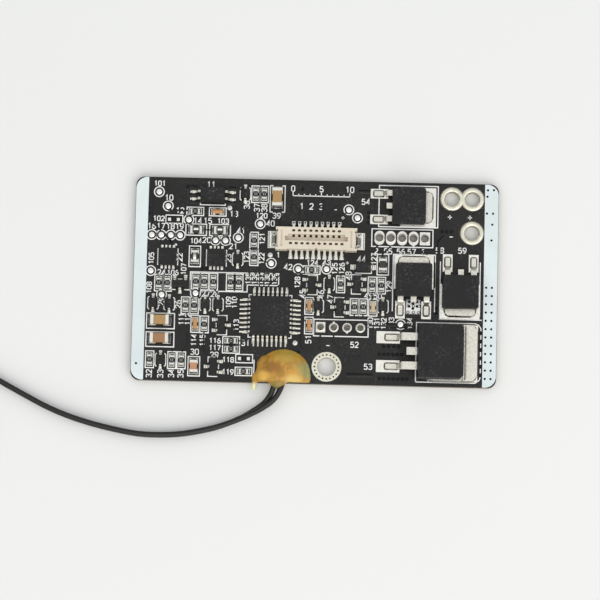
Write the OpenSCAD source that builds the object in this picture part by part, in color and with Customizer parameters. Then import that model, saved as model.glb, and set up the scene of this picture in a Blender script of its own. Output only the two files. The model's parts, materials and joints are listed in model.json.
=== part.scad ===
// Battery management board: a populated circuit board with plated wire holes, four power packages,
// a microcontroller, a fine-pitch wafer connector and a twin temperature-sensor lead.
// Millimetres. X runs along the board, Y across it and Z up from the underside it rests on.

/* [Board] */
// Length of the board along X
board_l = 64; // [64:1:80]
// Width of the board along Y
board_w = 36; // [36:1:50]
// Thickness of the laminate with its mask
board_t = 1.6; // [0.8:0.2:3.2]
// Radius of the board's corners
corner_r = 1.5; // [0.5:0.1:2.1]
// Width of the white printed strip at the left end
left_strip_w = 2.25; // [1.5:0.05:2.3]
// Gap between the white strip at the right end and the wire rings beside it
strip_gap = 0.1; // [0.05:0.05:0.9]
// Thickness of the printed strips
print_t = 0.03; // [0.02:0.01:0.05]
// Radius of the tented vias that show through the strips
via_r = 0.18; // [0.1:0.01:0.25]
// Pitch of the vias down the right strip
via_pitch = 1.46; // [1.2:0.02:1.6]

/* [Plating] */
// Thickness of the tinned copper lands
land_t = 0.05; // [0.03:0.01:0.1]
// Radius of the bores for the two positive wires and the load wire
wire_hole_r = 1.3; // [1:0.05:1.5]
// Radius of the tinned rings round those bores
wire_ring_r = 2.1; // [1.9:0.05:2.3]
// Radius of the bore for the cell wire
cell_hole_r = 1.65; // [1.3:0.05:1.8]
// Radius of the tinned ring round the cell wire's bore
cell_ring_r = 2.6; // [2.35:0.05:2.75]
// Radius of the tinned test points
test_r = 0.55; // [0.4:0.05:0.6]
// Height of the solder dome on a test point
test_h = 0.14; // [0.08:0.02:0.2]

/* [Header holes] */
// Pitch of the five-hole row
row_five_pitch = 2; // [1.9:0.05:2.1]
// Radius of the five-hole row's bores
row_five_r = 0.575; // [0.45:0.025:0.65]
// Width of the oval lands of the five-hole row
row_five_land_w = 1.75; // [1.5:0.05:1.8]
// Length of the oval lands of the five-hole row
row_five_land_l = 2.5; // [2.2:0.05:2.6]
// Pitch of the four-hole row
row_four_pitch = 2.33; // [2.1:0.01:2.4]
// Radius of the four-hole row's bores
row_four_r = 0.475; // [0.4:0.025:0.6]
// Radius of the round lands of the four-hole row
row_four_land_r = 0.83; // [0.75:0.01:0.9]

/* [Large power package] */
// Length of the moulded body, from its leads to its tab
large_l = 8.2; // [7.6:0.1:8.8]
// Width of the moulded body
large_w = 9.6; // [9.2:0.1:10]
// Height of the moulded body
large_h = 4.4; // [4:0.1:4.8]
// How far the tab stands out of the body
large_tab_reach = 2.4; // [1.2:0.1:2.6]
// Width of the tab
large_tab_w = 9.8; // [9:0.1:10]
// Thickness of the tab
large_tab_t = 1.3; // [1:0.1:1.5]
// Distance between the two outer leads
large_lead_gap = 5.08; // [4.6:0.04:5.4]
// Width of a lead next to the body
large_lead_w = 1.35; // [1.1:0.05:1.5]
// Width of a lead's foot
large_foot_w = 0.85; // [0.7:0.05:1]
// Thickness of the leads
large_lead_t = 0.5; // [0.4:0.05:0.6]
// How far the leads reach out of the body
large_reach = 5.4; // [5:0.1:5.8]
// Height of the leads where they leave the body
large_exit_z = 2.5; // [2.2:0.1:2.8]
// How far the cut-off middle lead reaches out
large_stub = 1.8; // [1:0.1:2]

/* [Small power package] */
// Length of the moulded body, from its leads to its tab
small_l = 6; // [5.6:0.1:6.2]
// Width of the moulded body
small_w = 6.4; // [6.1:0.1:6.7]
// Height of the moulded body
small_h = 2.3; // [2.1:0.1:2.5]
// How far the tab stands out of the body
small_tab_reach = 1.1; // [0.9:0.05:1.4]
// Width of the tab
small_tab_w = 5.2; // [4.8:0.1:5.5]
// Thickness of the tab
small_tab_t = 0.5; // [0.4:0.05:0.6]
// Distance between the two outer leads
small_lead_gap = 4.57; // [4.4:0.01:4.8]
// Width of a lead next to the body
small_lead_w = 1; // [0.8:0.05:1.1]
// Width of a lead's foot
small_foot_w = 0.78; // [0.6:0.02:0.9]
// Thickness of the leads
small_lead_t = 0.45; // [0.4:0.05:0.55]
// How far the leads reach out of the body
small_reach = 3.1; // [2.7:0.1:3.3]
// Height of the leads where they leave the body
small_exit_z = 1.25; // [1.1:0.05:1.4]
// How far the cut-off middle lead reaches out
small_stub = 0.95; // [0.6:0.05:1.1]

/* [Controller] */
// Side of the controller's square body
controller_w = 7; // [6.6:0.1:7.2]
// Height of the controller's body
controller_h = 1.4; // [1.2:0.1:1.6]
// Span over the tips of the controller's leads
controller_span = 9; // [8.6:0.1:9.2]
// Pitch of the controller's leads
controller_pitch = 0.8; // [0.7:0.02:0.84]
// Width of a controller lead
controller_lead_w = 0.37; // [0.3:0.01:0.42]
// Leads along each side of the controller
controller_leads_a_side = 8; // [6:1:8]

/* [Cell switches] */
// Side of the flat package's square body
flat_w = 3.05; // [2.9:0.05:3.15]
// Height of the flat package
flat_h = 0.85; // [0.7:0.05:1]
// Span over the flat package's terminals
flat_span = 3.5; // [3.35:0.05:3.7]
// Pitch of the terminals
flat_pitch = 0.65; // [0.6:0.01:0.68]
// Width of a terminal
flat_terminal_w = 0.34; // [0.28:0.01:0.4]

/* [Coupler] */
// Length of the coupler's body between its leads
coupler_l = 4.4; // [4.1:0.1:4.6]
// Width of the coupler's body
coupler_w = 2.6; // [2.5:0.1:2.9]
// Height of the coupler's body
coupler_h = 2; // [1.8:0.1:2.2]
// Span over the coupler's leads
coupler_span = 7.3; // [6.9:0.1:7.6]
// Pitch of the coupler's leads
coupler_pitch = 1.27; // [1.2:0.01:1.35]

/* [Connector] */
// Number of contacts in the lower row; the upper row has one fewer
contacts = 10; // [8:1:10]
// Pitch of the contacts
contact_pitch = 1; // [0.95:0.01:1.05]
// Width of a contact's foot
contact_w = 0.42; // [0.34:0.02:0.46]
// Length of the housing without its corner ears
housing_l = 13.5; // [13:0.1:13.8]
// Width of the housing across the two rows
housing_w = 4; // [3.9:0.1:4.2]
// Height of the housing
housing_h = 2.5; // [2.4:0.1:3]
// How far the corner ears stand past the ends
ear_l = 0.38; // [0.3:0.02:0.5]
// Length of the plug slot
slot_l = 11; // [10.8:0.1:11.2]
// Width of the plug slot
slot_w = 0.8; // [0.7:0.05:0.85]
// Depth of the plug slot
slot_d = 1.1; // [0.9:0.1:1.3]
// How far the feet stand out of the housing's long sides
contact_reach = 1; // [0.9:0.05:1.1]
// Width of the solder anchors at the ends
anchor_w = 2.85; // [2.7:0.05:3]
// How far an anchor's foot stands out of the housing's end
anchor_reach = 1.7; // [1.5:0.05:1.9]

/* [Chip parts] */
// Length, width and height of the small resistors
resistor_small = [1.6, 0.8, 0.45]; // [0.4:0.05:2]
// Length, width and height of the small capacitors
capacitor_small = [1.6, 0.85, 0.8]; // [0.4:0.05:2]
// Length, width and height of the middle-sized resistors
resistor_middle = [2.05, 1.25, 0.5]; // [0.4:0.05:2.2]
// Length, width and height of the middle-sized capacitor
capacitor_middle = [2.1, 1.3, 1]; // [0.4:0.05:2.2]
// Length, width and height of the large capacitors
capacitor_large = [3.2, 1.7, 1.4]; // [1:0.05:3.4]
// Thickness of the metal over a chip's ends
cap_skin = 0.04; // [0.02:0.01:0.06]

/* [Small leaded parts] */
// Length, width and height of the signal transistors' bodies
signal_body = [2.9, 1.35, 1]; // [0.9:0.05:3]
// Span over the signal transistors' leads
signal_span = 2.6; // [2.4:0.05:2.8]
// Length, width and height of the small diodes' bodies
diode_body = [1.7, 1.25, 0.9]; // [0.8:0.05:1.8]
// Span over the small diodes' leads
diode_span = 2.6; // [2.4:0.05:2.8]
// Length, width and height of the clamp diode's body
clamp_body = [2.7, 1.7, 1.1]; // [1:0.05:2.9]
// Span over the clamp diode's leads
clamp_span = 3.8; // [3.5:0.05:4]

/* [Sensor lead] */
// Width of the twin lead across both wires
lead_w = 2; // [1.6:0.1:2.1]
// Thickness of the twin lead, one wire thick
lead_t = 1; // [0.8:0.05:1.05]
// Radius to the inside of the stowed coil
coil_inner_r = 9.9; // [9.5:0.1:10.3]
// Radius to the outside of the stowed coil
coil_outer_r = 12.3; // [11.8:0.1:12.3]
// Diameter of the sensor bead
bead_d = 2.4; // [2:0.1:2.6]
// Length of the sensor bead
bead_l = 4.6; // [4:0.1:5]

/* [Hidden] */

$fn = 48;
eps = 0.01;                       // overshoot of a cut past the face it opens
seat_z = board_t + land_t;        // height that every part is soldered down on
right_x = board_l / 2;
left_x = -board_l / 2;
front_y = -board_w / 2;
back_y = board_w / 2;
print_inset = 0.06;               // bare rim between the print and the board's edge
strip_round = 0.45;               // how much rounder the print's corners are than the board's
// Every place on the board is given for a board of 64 by 36, and moves apart with a larger one.
spread = [board_l / 64, board_w / 36];
function on_board(p) = [p[0] * spread[0], p[1] * spread[1]];

mask_black = "#2b2b29";
print_white = "#dfeaea";
tin = "#d9d4c6";
mould_black = "#262628";
ceramic_tan = "#b98f5c";
ivory = "#efe3cf";

// Wire bores
positive_at = [on_board([23.75, 15.25]), on_board([27.35, 15.25])];
load_xy = on_board([27.35, 9.25]);
cell_xy = on_board([2.3, -14.95]);
cell_specks = 20;
cell_speck_r = 0.15;

// Header rows: first hole and count
row_five_xy = on_board([11.1, 8.05]);
row_five_count = 5;
row_five_square = [1.8, 2.3];
row_four_xy = on_board([1.1, -8]);
row_four_count = 4;
row_four_square = [1.65, 1.8];
teardrop_r = 0.2;                 // where a track runs into a land

// Vias that show in the white strips: the two columns and their faint companions
via_columns = [30, 31];
column_rows = 12;
column_top = -0.35;
right_vias = [
    [30.05, 16.95], [31.1, 17], [29.97, 15.8], [29.93, 12.8], [31, 12.8], [30.9, 10.85], [30.8, 8.05],
];
left_via = [-31.05, -15.1];

// Power packages: [x, y, turn, how far the drain land reaches past the tab]
battery_switch_at = [22.05, -12.05, 0, 0.15];
power_diode_at = [16.15, 13.6, 0, 0.7];
charge_switch_at = [17.25, 0.6, 90, 0.5];
load_switch_at = [25.45, -1.35, -90, 0.55];
small_packages = [power_diode_at, charge_switch_at, load_switch_at];

controller_at = [-7.8, -6.3, 0];
cell_switches_at = [[-26.05, 3.8, 0], [-17.5, 3.8, 0]];
coupler_at = [-18.4, 14.85, 0];
connector_at = [0, 7.3, 0];

// Chip parts and small leaded parts: [x, y, turn]
large_capacitors_at = [[-7.05, 14.8, 90], [-27.1, -7.4, 0], [-27.1, -10.6, 0]];
middle_capacitor_at = [-20.95, -15.4, 90];
small_capacitors_at = [
    [-17.5, 12, 0], [-20.9, -7.95, 90], [-1, -4.3, 90], [-0.95, -7.75, 90], [10.2, -4.35, 90],
];
middle_resistors_at = [[-21.2, 8.75, 0], [-17, 8.75, 0], [-21.3, 4, 90], [11.8, 3.3, 90]];
small_resistors_at = [
    [-21.45, 12, 0], [-0.7, 2.05, 0], [-14.5, -10.75, 0], [-14.5, -12.2, 0], [-12.2, -16.1, 0],
    [-10.85, 15.3, 90], [-9.35, 15.3, 90], [-10.95, 7.05, 90], [-10.9, 4.1, 90],
    [-27.5, -0.8, 90], [-26, -0.8, 90], [-21, -0.45, 90], [-19.5, -0.45, 90], [-17.9, -0.45, 90],
    [-14.9, -0.45, 90], [-13.45, -0.45, 90], [-22.7, -4.7, 90], [-21.15, -4.7, 90],
    [4.45, -0.35, 90], [10, -0.4, 90], [11.6, -0.4, 90], [6.95, -4.3, 90], [8.5, -4.3, 90],
    [-19.3, -8, 90], [-28.7, -14.35, 90], [-24.8, -14.4, 90], [-23.15, -14.4, 90],
];
bare_small_at = [[-25.1, 10.5, 0], [-12.15, -13.85, 0]];
signal_transistors_at = [
    [-23.75, -1, 0], [-16.3, -8.05, 90], [-17.5, -15.4, -90],
    [-0.6, -0.6, 90], [7.3, -0.3, -90], [4.4, -4.4, -90],
];
small_diodes_at = [
    [-12.7, 15.3, 90], [-13.75, 3.65, 90], [-28.4, -4.4, 90], [-25.55, -4.5, 90],
    [-19.25, -4.45, 90], [-17, -4.45, 90], [-26.8, -14.4, 90], [2.45, -0.35, 90],
    [0.6, -4.3, 90], [11.95, -4.1, 90],
];
clamp_diode_at = [8.35, 2.75, 0];
test_points_at = [
    [-27.9, 15.35], [-26.25, 12.85], [-22.55, 10.5], [-29, 7.7], [-27.35, 7.7], [-25.65, 7.7],
    [-24, 7.7], [-17.75, 6.95], [-16, 6.95], [-13.75, 7.5], [-9.95, 10.05], [5.6, 12.9], [7.15, 11.5],
    [-7.85, 3.1], [-3.05, 2.2], [1.9, 2.3], [-29, 1.3], [-26.95, -2.9], [-21, -2.5], [15.1, -7.2],
];

large_toe = 1.6;
small_toe = 0.65;

// Package records: body length, width and height, tab reach, width and thickness, lead gap,
// lead width, foot width, lead thickness, lead reach, exit height, stub reach, where along its
// reach a lead starts to drop and where it has dropped, how far its land runs past its tip
large_package = [
    large_l, large_w, large_h, large_tab_reach, large_tab_w, large_tab_t, large_lead_gap,
    large_lead_w, large_foot_w, large_lead_t, large_reach, large_exit_z, large_stub, 0.5, 0.6, large_toe,
];
small_package = [
    small_l, small_w, small_h, small_tab_reach, small_tab_w, small_tab_t, small_lead_gap,
    small_lead_w, small_foot_w, small_lead_t, small_reach, small_exit_z, small_stub, 0.27, 0.47, small_toe,
];
function body_size(k) = [k[0], k[1], k[2]];
function tab_reach(k) = k[3];
function tab_size(k) = [k[4], k[5]];
function lead_gap(k) = k[6];
function lead_widths(k) = [k[7], k[8]];
function lead_thickness(k) = k[9];
function lead_reach(k) = k[10];
function exit_height(k) = k[11];
function stub_reach(k) = k[12];
function drop(k) = [k[13], k[14]] * lead_reach(k);
function toe(k) = k[15];
root = 0.6;                       // how deep a power lead is buried in its body
draft = 0.1;                      // slope of every moulded side
mark_depth = 0.06;                // depth of pin-one dimples and ejector marks
dfn_edge = 0.05;                  // terminal height over the flat package's underside

// Lands: how far they run past the foot or chip end that they carry
land_toe = 0.35;
land_side = 0.08;
power_land = [4.1, 2.1];          // length and width under a large package's foot
small_power_land = [3.1, 1.7];    // length and width under a small package's foot
drain_side = 0.27;                // how far a small package's drain land runs out beside it

// Gull-wing leads: thickness, depth in the body, and where between body and tip the bend
// starts and ends
gull_t = 0.15;
gull_root = 0.2;
gull_bend = [0.25, 0.5];

// Width of each kind's leads, and length of the land under each lead
signal_lead_w = 0.42;
signal_lead_y = 0.95;             // from the middle to each of the paired leads
signal_land = 0.85;
diode_lead_w = 0.35;
diode_land = 0.7;
clamp_lead_w = 0.7;
clamp_land = 1;
coupler_lead_w = 0.42;
coupler_land = 1.2;
controller_land = 1.2;
flat_land = 0.8;
contact_land = 1;
terminal_t = 0.2;                 // height of a flat package's terminals
terminal_root = 0.4;              // how far they reach in under it

// Length of the metal at each end of the chip parts
large_band = 0.55;
middle_band = 0.45;
middle_resistor_band = 0.4;
small_band = 0.35;
small_resistor_band = 0.3;
chip_land_share = 0.3;            // share of a chip's length that each land runs in under it

// Sensor lead: route of its middle, [x, y, z, turn of its flat side]; flat at the seal, then on edge
// Places are measured from the point where the lead leaves the seal.
seal_xy = [-6.1 * spread[0], front_y - 0.3];
lead_route = [
    [0, 0, 2.15, 0], [-0.25, -0.8, 2.1, 8], [-0.7, -1.8, 1.95, 20], [-1.5, -2.85, 1.75, 38],
    [-2.6, -3.8, 1.5, 55], [-4, -4.7, 1.3, 68], [-6.1, -5.85, 1.15, 80], [-8.9, -7.05, 1.05, 87],
    [-11.9, -8, 1.02, 90], [-16.3, -8.9, 1.02, 90], [-20.3, -9.2, 1.02, 90],
    [-24.3, -9.1, 1.02, 90], [-28.5, -8.4, 1.02, 90], [-32.5, -7.5, 1.02, 90],
    [-36.5, -6.3, 1.02, 90], [-40.3, -4.8, 1.02, 90], [-44.1, -2.9, 1.02, 90],
    [-47.9, -0.9, 1.02, 90], [-51.1, 0.8, 1.02, 90], [-54.4, 2.4, 1.02, 90],
    [-57.6, 4, 1.02, 90],
];
lead_sides = 8;
coil_xy = seal_xy + [-62.9, -7.7];
bead_turn = 101;                  // where round the coil the bead lies
bead_gap = 0.35;                  // between the bead's middle line and the coil's inner wall

// ---------------------------------------------------------------- shared shapes

// Repeats its children at every [x, y, turn] of a list, on the lands.
module placed(list) {
    for (p = list) translate([each on_board(p), seat_z]) rotate(p[2]) children();
}

// A rectangle with rounded corners, drawn with true arcs.
module rounded_rectangle(l, w, r) {
    square([l - 2 * r, w], center = true);
    square([l, w - 2 * r], center = true);
    for (x = [-1, 1], y = [-1, 1]) translate([x * (l / 2 - r), y * (w / 2 - r)]) circle(r);
}

// A rectangle whose corners on the +X side are cut at 45 degrees.
module cut_rectangle(l, w, cut) {
    polygon([
        [-l / 2, -w / 2], [l / 2 - cut, -w / 2], [l / 2, -w / 2 + cut],
        [l / 2, w / 2 - cut], [l / 2 - cut, w / 2], [-l / 2, w / 2],
    ]);
}

module drafted_profile(l, h, mid) {
    polygon([
        [-l / 2 + draft * mid, 0], [l / 2 - draft * mid, 0], [l / 2, mid],
        [l / 2 - draft * (h - mid), h], [-l / 2 + draft * (h - mid), h], [-l / 2, mid],
    ]);
}

// A moulded body: two crossed profiles, each widest at the parting line.
module moulded(size, mid) {
    intersection() {
        rotate([90, 0, 0]) linear_extrude(size[1], center = true) drafted_profile(size[0], size[2], mid);
        rotate([90, 0, 90]) linear_extrude(size[0], center = true) drafted_profile(size[1], size[2], mid);
    }
}

function unit(v) = v / norm(v);
function left_of(v) = [-v[1], v[0]];

// The path with each inner corner replaced by a short curve of n chords.
function eased(path, reach, n = 3) = concat(
    [path[0]],
    [for (i = [1 : len(path) - 2]) for (j = [0 : n])
        let (t = j / n, p = path[i],
             a = p + unit(path[i - 1] - p) * reach, b = p + unit(path[i + 1] - p) * reach)
        (1 - t) * (1 - t) * a + 2 * t * (1 - t) * p + t * t * b],
    [path[len(path) - 1]]
);

function mitre(path, i) = let (
    a = unit(path[max(i, 1)] - path[max(i, 1) - 1]),
    b = unit(path[min(i, len(path) - 2) + 1] - path[min(i, len(path) - 2)]),
    m = unit(left_of(a) + left_of(b))
) m / (m * left_of(a));

// The outline of a strip of thickness t whose middle follows the path.
function ribbon(path, t) = concat(
    [for (i = [0 : len(path) - 1]) path[i] + mitre(path, i) * t / 2],
    [for (i = [len(path) - 1 : -1 : 0]) path[i] - mitre(path, i) * t / 2]
);

// A bent strip: its path lies in the XZ plane and its width runs along Y.
module bent_strip(path, t, w) {
    rotate([90, 0, 0]) linear_extrude(w, center = true) polygon(ribbon(path, t));
}

// A gull-wing lead along +X, from the body's side at exit to its tip.
module gull_lead(exit, tip, height, w) {
    run = tip - exit;
    bent_strip(
        eased([
            [exit - gull_root, height], [exit + run * gull_bend[0], height],
            [exit + run * gull_bend[1], gull_t / 2], [tip, gull_t / 2],
        ], gull_t * 0.7, 2),
        gull_t, w
    );
}

// ---------------------------------------------------------------- board

module board_outline() {
    rounded_rectangle(board_l, board_w, corner_r);
}

module wire_bores() {
    for (p = concat(positive_at, [load_xy])) translate(p) circle(wire_hole_r);
    translate(cell_xy) circle(cell_hole_r);
}

module row_five_bores() {
    for (i = [0 : row_five_count - 1])
        translate(row_five_xy + [i * row_five_pitch, 0]) circle(row_five_r);
}

module row_four_bores() {
    for (i = [0 : row_four_count - 1])
        translate(row_four_xy + [i * row_four_pitch, 0]) circle(row_four_r);
}

module positive_ring_outline() {
    for (p = positive_at) translate(p) circle(wire_ring_r);
}

module row_five_outline(teardrop = true) {
    straight = row_five_land_l - row_five_land_w;
    for (i = [0 : row_five_count - 2]) translate(row_five_xy + [i * row_five_pitch, 0]) {
        square([row_five_land_w, straight], center = true);
        for (y = [-1, 1]) translate([0, y * straight / 2]) circle(row_five_land_w / 2);
    }
    translate(row_five_xy + [(row_five_count - 1) * row_five_pitch, 0])
        square(row_five_square, center = true);
    if (teardrop)
        translate(row_five_xy + [3 * row_five_pitch, -row_five_land_l / 2]) circle(teardrop_r);
}

module row_four_outline(teardrop = true) {
    translate(row_four_xy) square(row_four_square, center = true);
    for (i = [1 : row_four_count - 1])
        translate(row_four_xy + [i * row_four_pitch, 0]) circle(row_four_land_r);
    if (teardrop) for (i = [1, 2])
        translate(row_four_xy + [i * row_four_pitch, (3 - 2 * i) * row_four_land_r]) circle(teardrop_r);
}

module circuit_board() {
    color(mask_black) difference() {
        linear_extrude(board_t) difference() {
            board_outline();
            wire_bores();
            row_five_bores();
            row_four_bores();
        }
        // the rings on the underside lie flush, so that the board rests flat
        translate([0, 0, -eps]) linear_extrude(land_t + eps) {
            positive_ring_outline();
            translate(load_xy) circle(wire_ring_r);
            translate(cell_xy) circle(cell_ring_r);
            row_five_outline(teardrop = false);
            row_four_outline(teardrop = false);
        }
    }
}

// The two lands of a through hole: one on top and one flush with the underside.
module lands() {
    difference() {
        union() {
            translate([0, 0, board_t]) linear_extrude(land_t) children(0);
            linear_extrude(land_t) children(1);
        }
        translate([0, 0, -eps]) linear_extrude(board_t + land_t + 2 * eps) children(2);
    }
}

module positive_wire_rings() {
    color(tin) lands() {
        positive_ring_outline();
        positive_ring_outline();
        for (p = positive_at) translate(p) circle(wire_hole_r);
    }
}

module load_wire_ring() {
    color(tin) translate(load_xy) lands() {
        circle(wire_ring_r);
        circle(wire_ring_r);
        circle(wire_hole_r);
    }
}

module cell_wire_ring() {
    speck_ring = (cell_hole_r + cell_ring_r) / 2;
    color(tin) translate(cell_xy) lands() {
        difference() {
            circle(cell_ring_r);
            for (i = [0 : cell_specks - 1])
                rotate(i * 360 / cell_specks) translate([speck_ring, 0]) circle(cell_speck_r, $fn = 16);
        }
        circle(cell_ring_r);
        circle(cell_hole_r);
    }
}

module row_five_rings() {
    color(tin) lands() {
        row_five_outline();
        row_five_outline(teardrop = false);
        row_five_bores();
    }
}

module row_four_rings() {
    color(tin) lands() {
        row_four_outline();
        row_four_outline(teardrop = false);
        row_four_bores();
    }
}

// The print's own outline, rounder at the corners than the board.
module strip_outline() {
    rounded_rectangle(board_l - 2 * print_inset, board_w - 2 * print_inset, corner_r + strip_round);
}

module left_strip() {
    color(print_white) translate([0, 0, board_t]) linear_extrude(print_t) difference() {
        intersection() {
            strip_outline();
            translate([left_x, front_y]) square([left_strip_w * spread[0], board_w]);
        }
        translate(on_board(left_via)) circle(via_r, $fn = 16);
    }
}

module right_strip() {
    inner_x = positive_at[1][0] + wire_ring_r + strip_gap;
    color(print_white) translate([0, 0, board_t]) linear_extrude(print_t) difference() {
        intersection() {
            strip_outline();
            translate([inner_x, front_y]) square([right_x - inner_x, board_w]);
        }
        for (x = via_columns, i = [0 : column_rows - 1])
            translate(on_board([x, column_top - i * via_pitch])) circle(via_r, $fn = 16);
        for (v = right_vias) translate(on_board(v)) circle(via_r, $fn = 16);
    }
}

// ---------------------------------------------------------------- lands

// Two lands under a chip of this size, lying along X.
module chip_lands(size) {
    land_l = size[0] * chip_land_share + land_toe;
    for (s = [-1, 1])
        translate([s * (size[0] / 2 + land_toe - land_l / 2), 0])
            square([land_l, size[1] + 2 * land_side], center = true);
}

// A land under a lead of this width whose tip lies at x.
module tip_land(x, w, l, side = land_side) {
    translate([x + land_toe - l / 2, 0]) square([l, w + 2 * side], center = true);
}

module power_lands(k, past_tab, foot, side = land_side) {
    size = body_size(k);
    for (s = [-1, 1])
        translate([-size[0] / 2 - lead_reach(k) - toe(k) + foot[0] / 2, s * lead_gap(k) / 2])
            square(foot, center = true);
    back = size[0] / 2 + tab_reach(k) + past_tab;
    translate([back / 2 - size[0] / 8, 0])
        square([back + size[0] / 4, max(size[1], tab_size(k)[0]) + 2 * side], center = true);
}

module flat(p) {
    translate(on_board(p)) rotate(p[2]) children();
}

module solder_lands() {
    color(tin) translate([0, 0, board_t]) linear_extrude(land_t) {
        for (p = concat(small_resistors_at, bare_small_at)) flat(p) chip_lands(resistor_small);
        for (p = small_capacitors_at) flat(p) chip_lands(capacitor_small);
        for (p = middle_resistors_at) flat(p) chip_lands(resistor_middle);
        flat(middle_capacitor_at) chip_lands(capacitor_middle);
        for (p = large_capacitors_at) flat(p) chip_lands(capacitor_large);
        for (p = signal_transistors_at) flat(p) signal_lead_places()
            tip_land(signal_span / 2, signal_lead_w, signal_land);
        for (p = small_diodes_at, a = [0, 180]) flat(p) rotate(a)
            tip_land(diode_span / 2, diode_lead_w, diode_land);
        flat(clamp_diode_at) for (a = [0, 180]) rotate(a)
            tip_land(clamp_span / 2, clamp_lead_w, clamp_land);
        flat(controller_at) controller_places()
            tip_land(controller_span / 2, controller_lead_w, controller_land);
        for (p = cell_switches_at) flat(p) flat_places()
            tip_land(flat_span / 2, flat_terminal_w, flat_land);
        flat(coupler_at) coupler_places() tip_land(coupler_span / 2, coupler_lead_w, coupler_land);
        flat(connector_at) connector_lands();
        flat(battery_switch_at) power_lands(large_package, battery_switch_at[3], power_land);
        for (p = small_packages) flat(p)
            power_lands(small_package, p[3], small_power_land, drain_side);
    }
}

// A low solder dome, turned from a quarter of an ellipse.
module test_points() {
    color(tin) for (p = test_points_at) translate([each on_board(p), board_t])
        rotate_extrude($fn = 32) polygon(concat(
            [[0, 0]], [for (a = [0 : 22.5 : 90]) [test_r * cos(a), test_h * sin(a)]]
        ));
}

// ---------------------------------------------------------------- power packages

module power_lead(k, side) {
    size = body_size(k);
    t = lead_thickness(k);
    w = lead_widths(k);
    x0 = -size[0] / 2;
    neck = x0 - drop(k)[0];
    translate([0, side * lead_gap(k) / 2, 0]) intersection() {
        bent_strip(
            eased([
                [x0 + root, exit_height(k)], [neck, exit_height(k)],
                [x0 - drop(k)[1], t / 2], [x0 - lead_reach(k), t / 2],
            ], t * 0.6, 4),
            t, w[0]
        );
        linear_extrude(size[2]) polygon([
            [x0 + root, -w[0] / 2], [neck, -w[0] / 2], [neck - t / 2, -w[1] / 2],
            [x0 - lead_reach(k) - eps, -w[1] / 2], [x0 - lead_reach(k) - eps, w[1] / 2],
            [neck - t / 2, w[1] / 2], [neck, w[0] / 2], [x0 + root, w[0] / 2],
        ]);
    }
}

module power_stub(k) {
    size = body_size(k);
    t = lead_thickness(k);
    translate([-size[0] / 2 - stub_reach(k), -lead_widths(k)[0] / 2, exit_height(k) - t / 2])
        cube([stub_reach(k) + root, lead_widths(k)[0], t]);
}

// The tab: narrow under the body and full width outside it, with a locking groove along the body.
module power_tab(k) {
    size = body_size(k);
    tab = tab_size(k);
    outer = size[0] / 2 + tab_reach(k);
    groove = tab[1] * 0.2;
    corner = tab_reach(k) * 0.35;
    difference() {
        linear_extrude(tab[1]) {
            translate([-size[0] * 0.3, -tab[0] * 0.42])
                square([size[0] * 0.8, tab[0] * 0.84]);
            translate([(size[0] / 2 + outer) / 2, 0]) cut_rectangle(tab_reach(k), tab[0], corner);
        }
        translate([size[0] / 2 + groove * 1.5, 0, tab[1]])
            cube([groove, tab[0] * 0.94, groove], center = true);
    }
}

module power_frame(k) {
    color(tin) {
        power_tab(k);
        power_stub(k);
        for (s = [-1, 1]) power_lead(k, s);
    }
}

module power_body(k) {
    size = body_size(k);
    bevel = size[2] * 0.18;
    color(mould_black) difference() {
        intersection() {
            moulded(size, exit_height(k));
            linear_extrude(size[2]) cut_rectangle(size[0], size[1], bevel);
        }
        power_tab(k);
        power_stub(k);
        for (s = [-1, 1]) power_lead(k, s);
        for (s = [-1, 1])
            translate([-size[0] * 0.25, s * size[1] * 0.28, size[2] - mark_depth])
                cylinder(r = size[2] * 0.16, h = 1);
    }
}

module battery_switch_body() placed([battery_switch_at]) power_body(large_package);
module battery_switch_frame() placed([battery_switch_at]) power_frame(large_package);
module power_diode_body() placed([power_diode_at]) power_body(small_package);
module power_diode_frame() placed([power_diode_at]) power_frame(small_package);
module charge_switch_body() placed([charge_switch_at]) power_body(small_package);
module charge_switch_frame() placed([charge_switch_at]) power_frame(small_package);
module load_switch_body() placed([load_switch_at]) power_body(small_package);
module load_switch_frame() placed([load_switch_at]) power_frame(small_package);

// ---------------------------------------------------------------- integrated circuits

// Repeats its children at every controller lead, each pointing along +X.
module controller_places() {
    n = controller_leads_a_side;
    for (a = [0 : 90 : 270]) rotate(a) for (i = [0 : n - 1])
        translate([0, (i - (n - 1) / 2) * controller_pitch]) children();
}

module controller_lead_shapes() {
    controller_places()
        gull_lead(controller_w / 2, controller_span / 2, controller_h / 2, controller_lead_w);
}

module controller_body() {
    corner = controller_w / 2 - 0.8;
    color(mould_black) placed([controller_at]) difference() {
        translate([0, 0, land_t]) moulded([controller_w, controller_w, controller_h], controller_h / 2);
        controller_lead_shapes();
        translate([corner, -corner, controller_h + land_t - mark_depth]) cylinder(r = 0.35, h = 1);
    }
}

module controller_leads() {
    color(tin) placed([controller_at]) controller_lead_shapes();
}

// Repeats its children at every terminal of a flat package, each pointing along +X.
module flat_places() {
    for (a = [90, 270]) rotate(a) for (i = [-1.5 : 1.5]) translate([0, i * flat_pitch]) children();
}

module flat_terminal_shapes() {
    flat_places() translate([flat_w / 2 - terminal_root, -flat_terminal_w / 2, 0])
        cube([(flat_span - flat_w) / 2 + terminal_root, flat_terminal_w, terminal_t]);
}

module cell_switch_body(i) {
    color(mould_black) placed([cell_switches_at[i]]) difference() {
        translate([0, 0, dfn_edge + flat_h / 2]) cube([flat_w, flat_w, flat_h], center = true);
        flat_terminal_shapes();
        translate([-flat_w * 0.36, -flat_w * 0.36, flat_h + dfn_edge - mark_depth])
            cylinder(r = 0.2, h = 1);
    }
}

module cell_switch_terminals(i) {
    color(tin) placed([cell_switches_at[i]]) flat_terminal_shapes();
}

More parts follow.
